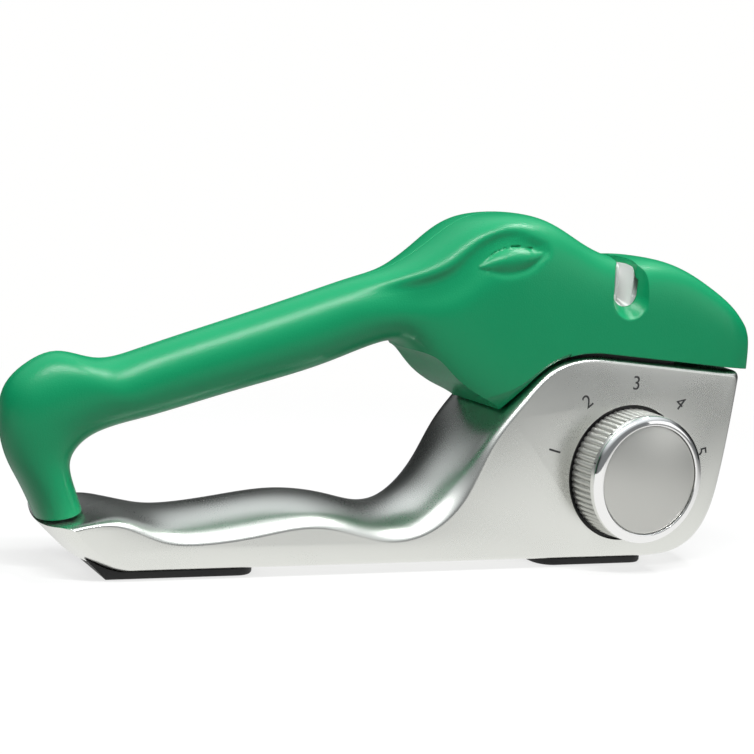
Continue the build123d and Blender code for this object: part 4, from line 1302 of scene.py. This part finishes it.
@dataclass
class InnerPieces:
    """Finishes of the CAD nodes that stay as they are."""

    groups: tuple[tuple[Finishes, tuple[str, ...]], ...] = (
        (Finishes.ZINC, ("base_screws", "handle_screws", "cradle_screws", "spring_screw",
                         "knob_screw")),
        (Finishes.GREY, ("drum_cradle", "drum_end_cover")),
        # The bushing is black plastic; its black flange at the recess floor also stands in for the
        # shade in the ring round the knob.
        (Finishes.BLACK, ("dial_bushing",)),
        (Finishes.SPRING, ("detent_spring", "axle_clips", "shaft_clip")),
        (Finishes.STEEL, ("idler_pin", "drum_axle", "dial_shaft", "idler_bush")),
        (Finishes.ACETAL, ("index_plate", "drive_gear", "idler_gear", "drum_gear")),
        (Finishes.WHITE, ("stage_drum",)),
        (Finishes.CARBIDE, ("coarse_blades",)),
        (Finishes.DIAMOND, ("diamond_rods",)),
        (Finishes.CERAMIC, ("ceramic_rods", "bread_knife_rods", "scissor_rods")))

    def build(self) -> None:
        """Dresses the nodes."""
        for finish, names in self.groups:
            for name in names:
                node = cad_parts[name]
                node.data.materials.clear()
                node.data.materials.append(material(finish))
                for slot in node.material_slots:
                    slot.material = material(finish)
                LOG.info("%s keeps its form", name)


@dataclass(frozen=True)
class Lamp:
    """One soft lamp aimed at a point."""

    name: str
    place: Triple
    aim: Triple
    wide: float
    high: float
    power: float

    def build(self) -> None:
        """Adds the lamp."""
        bpy.ops.object.light_add(type="AREA", location=self.place)
        lamp = added(self.name)
        lamp.data.shape = "RECTANGLE"
        lamp.data.size = self.wide
        lamp.data.size_y = self.high
        lamp.data.energy = self.power
        aim = Vector(self.aim) - Vector(self.place)
        lamp.rotation_euler = aim.to_track_quat("-Z", "Y").to_euler()


@dataclass
class Studio:
    """The floor, the lamps, the world and the camera."""

    lamps: tuple[Lamp, ...] = (
        Lamp("key", (-0.22, -0.34, 0.90), (-0.08, 0.0, 0.05), 0.80, 0.045, 7.5),
        Lamp("crown", (0.33, -0.06, 0.85), (-0.10, -0.02, 0.02), 0.35, 0.10, 3.0),
        Lamp("side", (0.75, -0.75, 0.35), (0.0, 0.0, 0.05), 0.5, 0.5, 0.8))
    azimuth: float = 26.847
    elevation: float = 7.070
    roll: float = 4.932
    eye: Triple = (-0.30929, -0.45243, 0.11847)
    lens: float = 81.17

    def floor(self) -> None:
        """Adds the pale floor, which keeps the object's shadow."""
        clear_selection()
        bpy.ops.mesh.primitive_plane_add(size=6.0, location=(0, 0, -0.00002))
        floor = added("floor")
        shader = Shader(bpy.data.materials.new("pale floor"))
        glow = shader.node("ShaderNodeEmission", {}, {"Color": PAPER, "Strength": 1.0})
        camera = shader.ray("Is Camera Ray")
        tint = shader.node("ShaderNodeMix", {"data_type": "RGBA"}, {
            "Factor": camera, 6: (0.18, 0.18, 0.18, 1.0), 7: (0.9, 0.9, 0.9, 1.0)})
        lit = shader.node("ShaderNodeBsdfDiffuse", {}, {"Color": tint.outputs[2]})
        place = shader.node("ShaderNodeTexCoord", {}, {}).outputs["Object"]
        axes = shader.node("ShaderNodeSeparateXYZ", {}, {0: place}).outputs
        along = shader.fade(axes[0], 0.0, 0.38, 1.0, 0.12)
        before = shader.fade(axes[1], -0.02, 0.12, 1.0, 0.06)
        far = shader.signal("ShaderNodeVectorMath", {"operation": "LENGTH"}, {0: place}, "Value")
        share = shader.fade(far, 0.16, 0.42, 0.72, 1.0)
        seen = camera * share + shader.ray("Is Glossy Ray") * along * before
        mixed = shader.node("ShaderNodeMixShader", {}, {
            0: seen, 1: lit.outputs[0], 2: glow.outputs[0]})
        shader.node("ShaderNodeOutputMaterial", {}, {"Surface": mixed.outputs[0]})
        floor.data.materials.append(shader.owner)

    def sky(self) -> None:
        """Sets the world: plain light, and a dark room with a pale ceiling in reflections."""
        shader = Shader(bpy.data.worlds.new("studio"))
        bpy.context.scene.world = shader.owner
        towards = shader.node("ShaderNodeTexCoord", {}, {}).outputs["Generated"]
        axes = shader.node("ShaderNodeSeparateXYZ", {}, {0: towards}).outputs
        ceiling = shader.fade(axes[2], 0.35, 0.85, 0.02, 1.0)
        front = shader.fade(axes[1], 0.0, -0.6, 0.0, 0.20)
        glossy = shader.ray("Is Glossy Ray")
        strength = (ceiling + front) * glossy + (1 - glossy) * 0.38
        plain = shader.node("ShaderNodeBackground", {}, {
            "Color": (0.93, 0.97, 1.0, 1.0), "Strength": strength})
        white = shader.node("ShaderNodeBackground", {}, {"Color": PAPER})
        mix = shader.node("ShaderNodeMixShader", {}, {
            0: shader.ray("Is Camera Ray"), 1: plain.outputs[0], 2: white.outputs[0]})
        shader.node("ShaderNodeOutputWorld", {}, {"Surface": mix.outputs[0]})

    def camera(self) -> None:
        """Adds the camera at the photograph's viewing angle."""
        a, e, r = (math.radians(angle) for angle in (self.azimuth, self.elevation, self.roll))
        ahead = Vector((math.sin(a) * math.cos(e), math.cos(a) * math.cos(e), -math.sin(e)))
        right = Vector((math.cos(a), -math.sin(a), 0.0))
        up = Vector((math.sin(a) * math.sin(e), math.cos(a) * math.sin(e), math.cos(e)))
        across = right * math.cos(r) + up * math.sin(r)
        above = up * math.cos(r) - right * math.sin(r)
        bpy.ops.object.camera_add(location=self.eye)
        camera = added("camera")
        camera.data.lens = self.lens
        camera.data.sensor_width = 36.0
        camera.data.clip_start = 0.01
        camera.rotation_euler = Matrix((across, above, -ahead)).transposed().to_euler()
        bpy.context.scene.camera = camera

    def build(self) -> None:
        """Builds the studio."""
        self.camera()
        self.floor()
        self.sky()
        for lamp in self.lamps:
            lamp.build()
        bpy.context.scene.view_settings.view_transform = "Standard"


def main() -> None:
    """Builds every sub-assembly in order."""
    logging.basicConfig(level=logging.INFO, format="%(message)s")
    bpy.context.view_layer.objects.active = None
    clear_selection()
    Studio().build()
    base = Base()
    base.build()
    Handle().build(base)
    Dial().build()
    Guide().build()
    Pad("tail_foot_pad", x_low=-0.7190 * LENGTH, x_high=-0.5060 * LENGTH, top=0.0064,
        toe=0.0065).build(base)
    Pad("head_foot_pad", x_low=-0.1125 * LENGTH, x_high=0.0540 * LENGTH, top=0.0040).build(base)
    Numbers().build()
    InnerPieces().build()


if __name__ == "__main__":
    main()
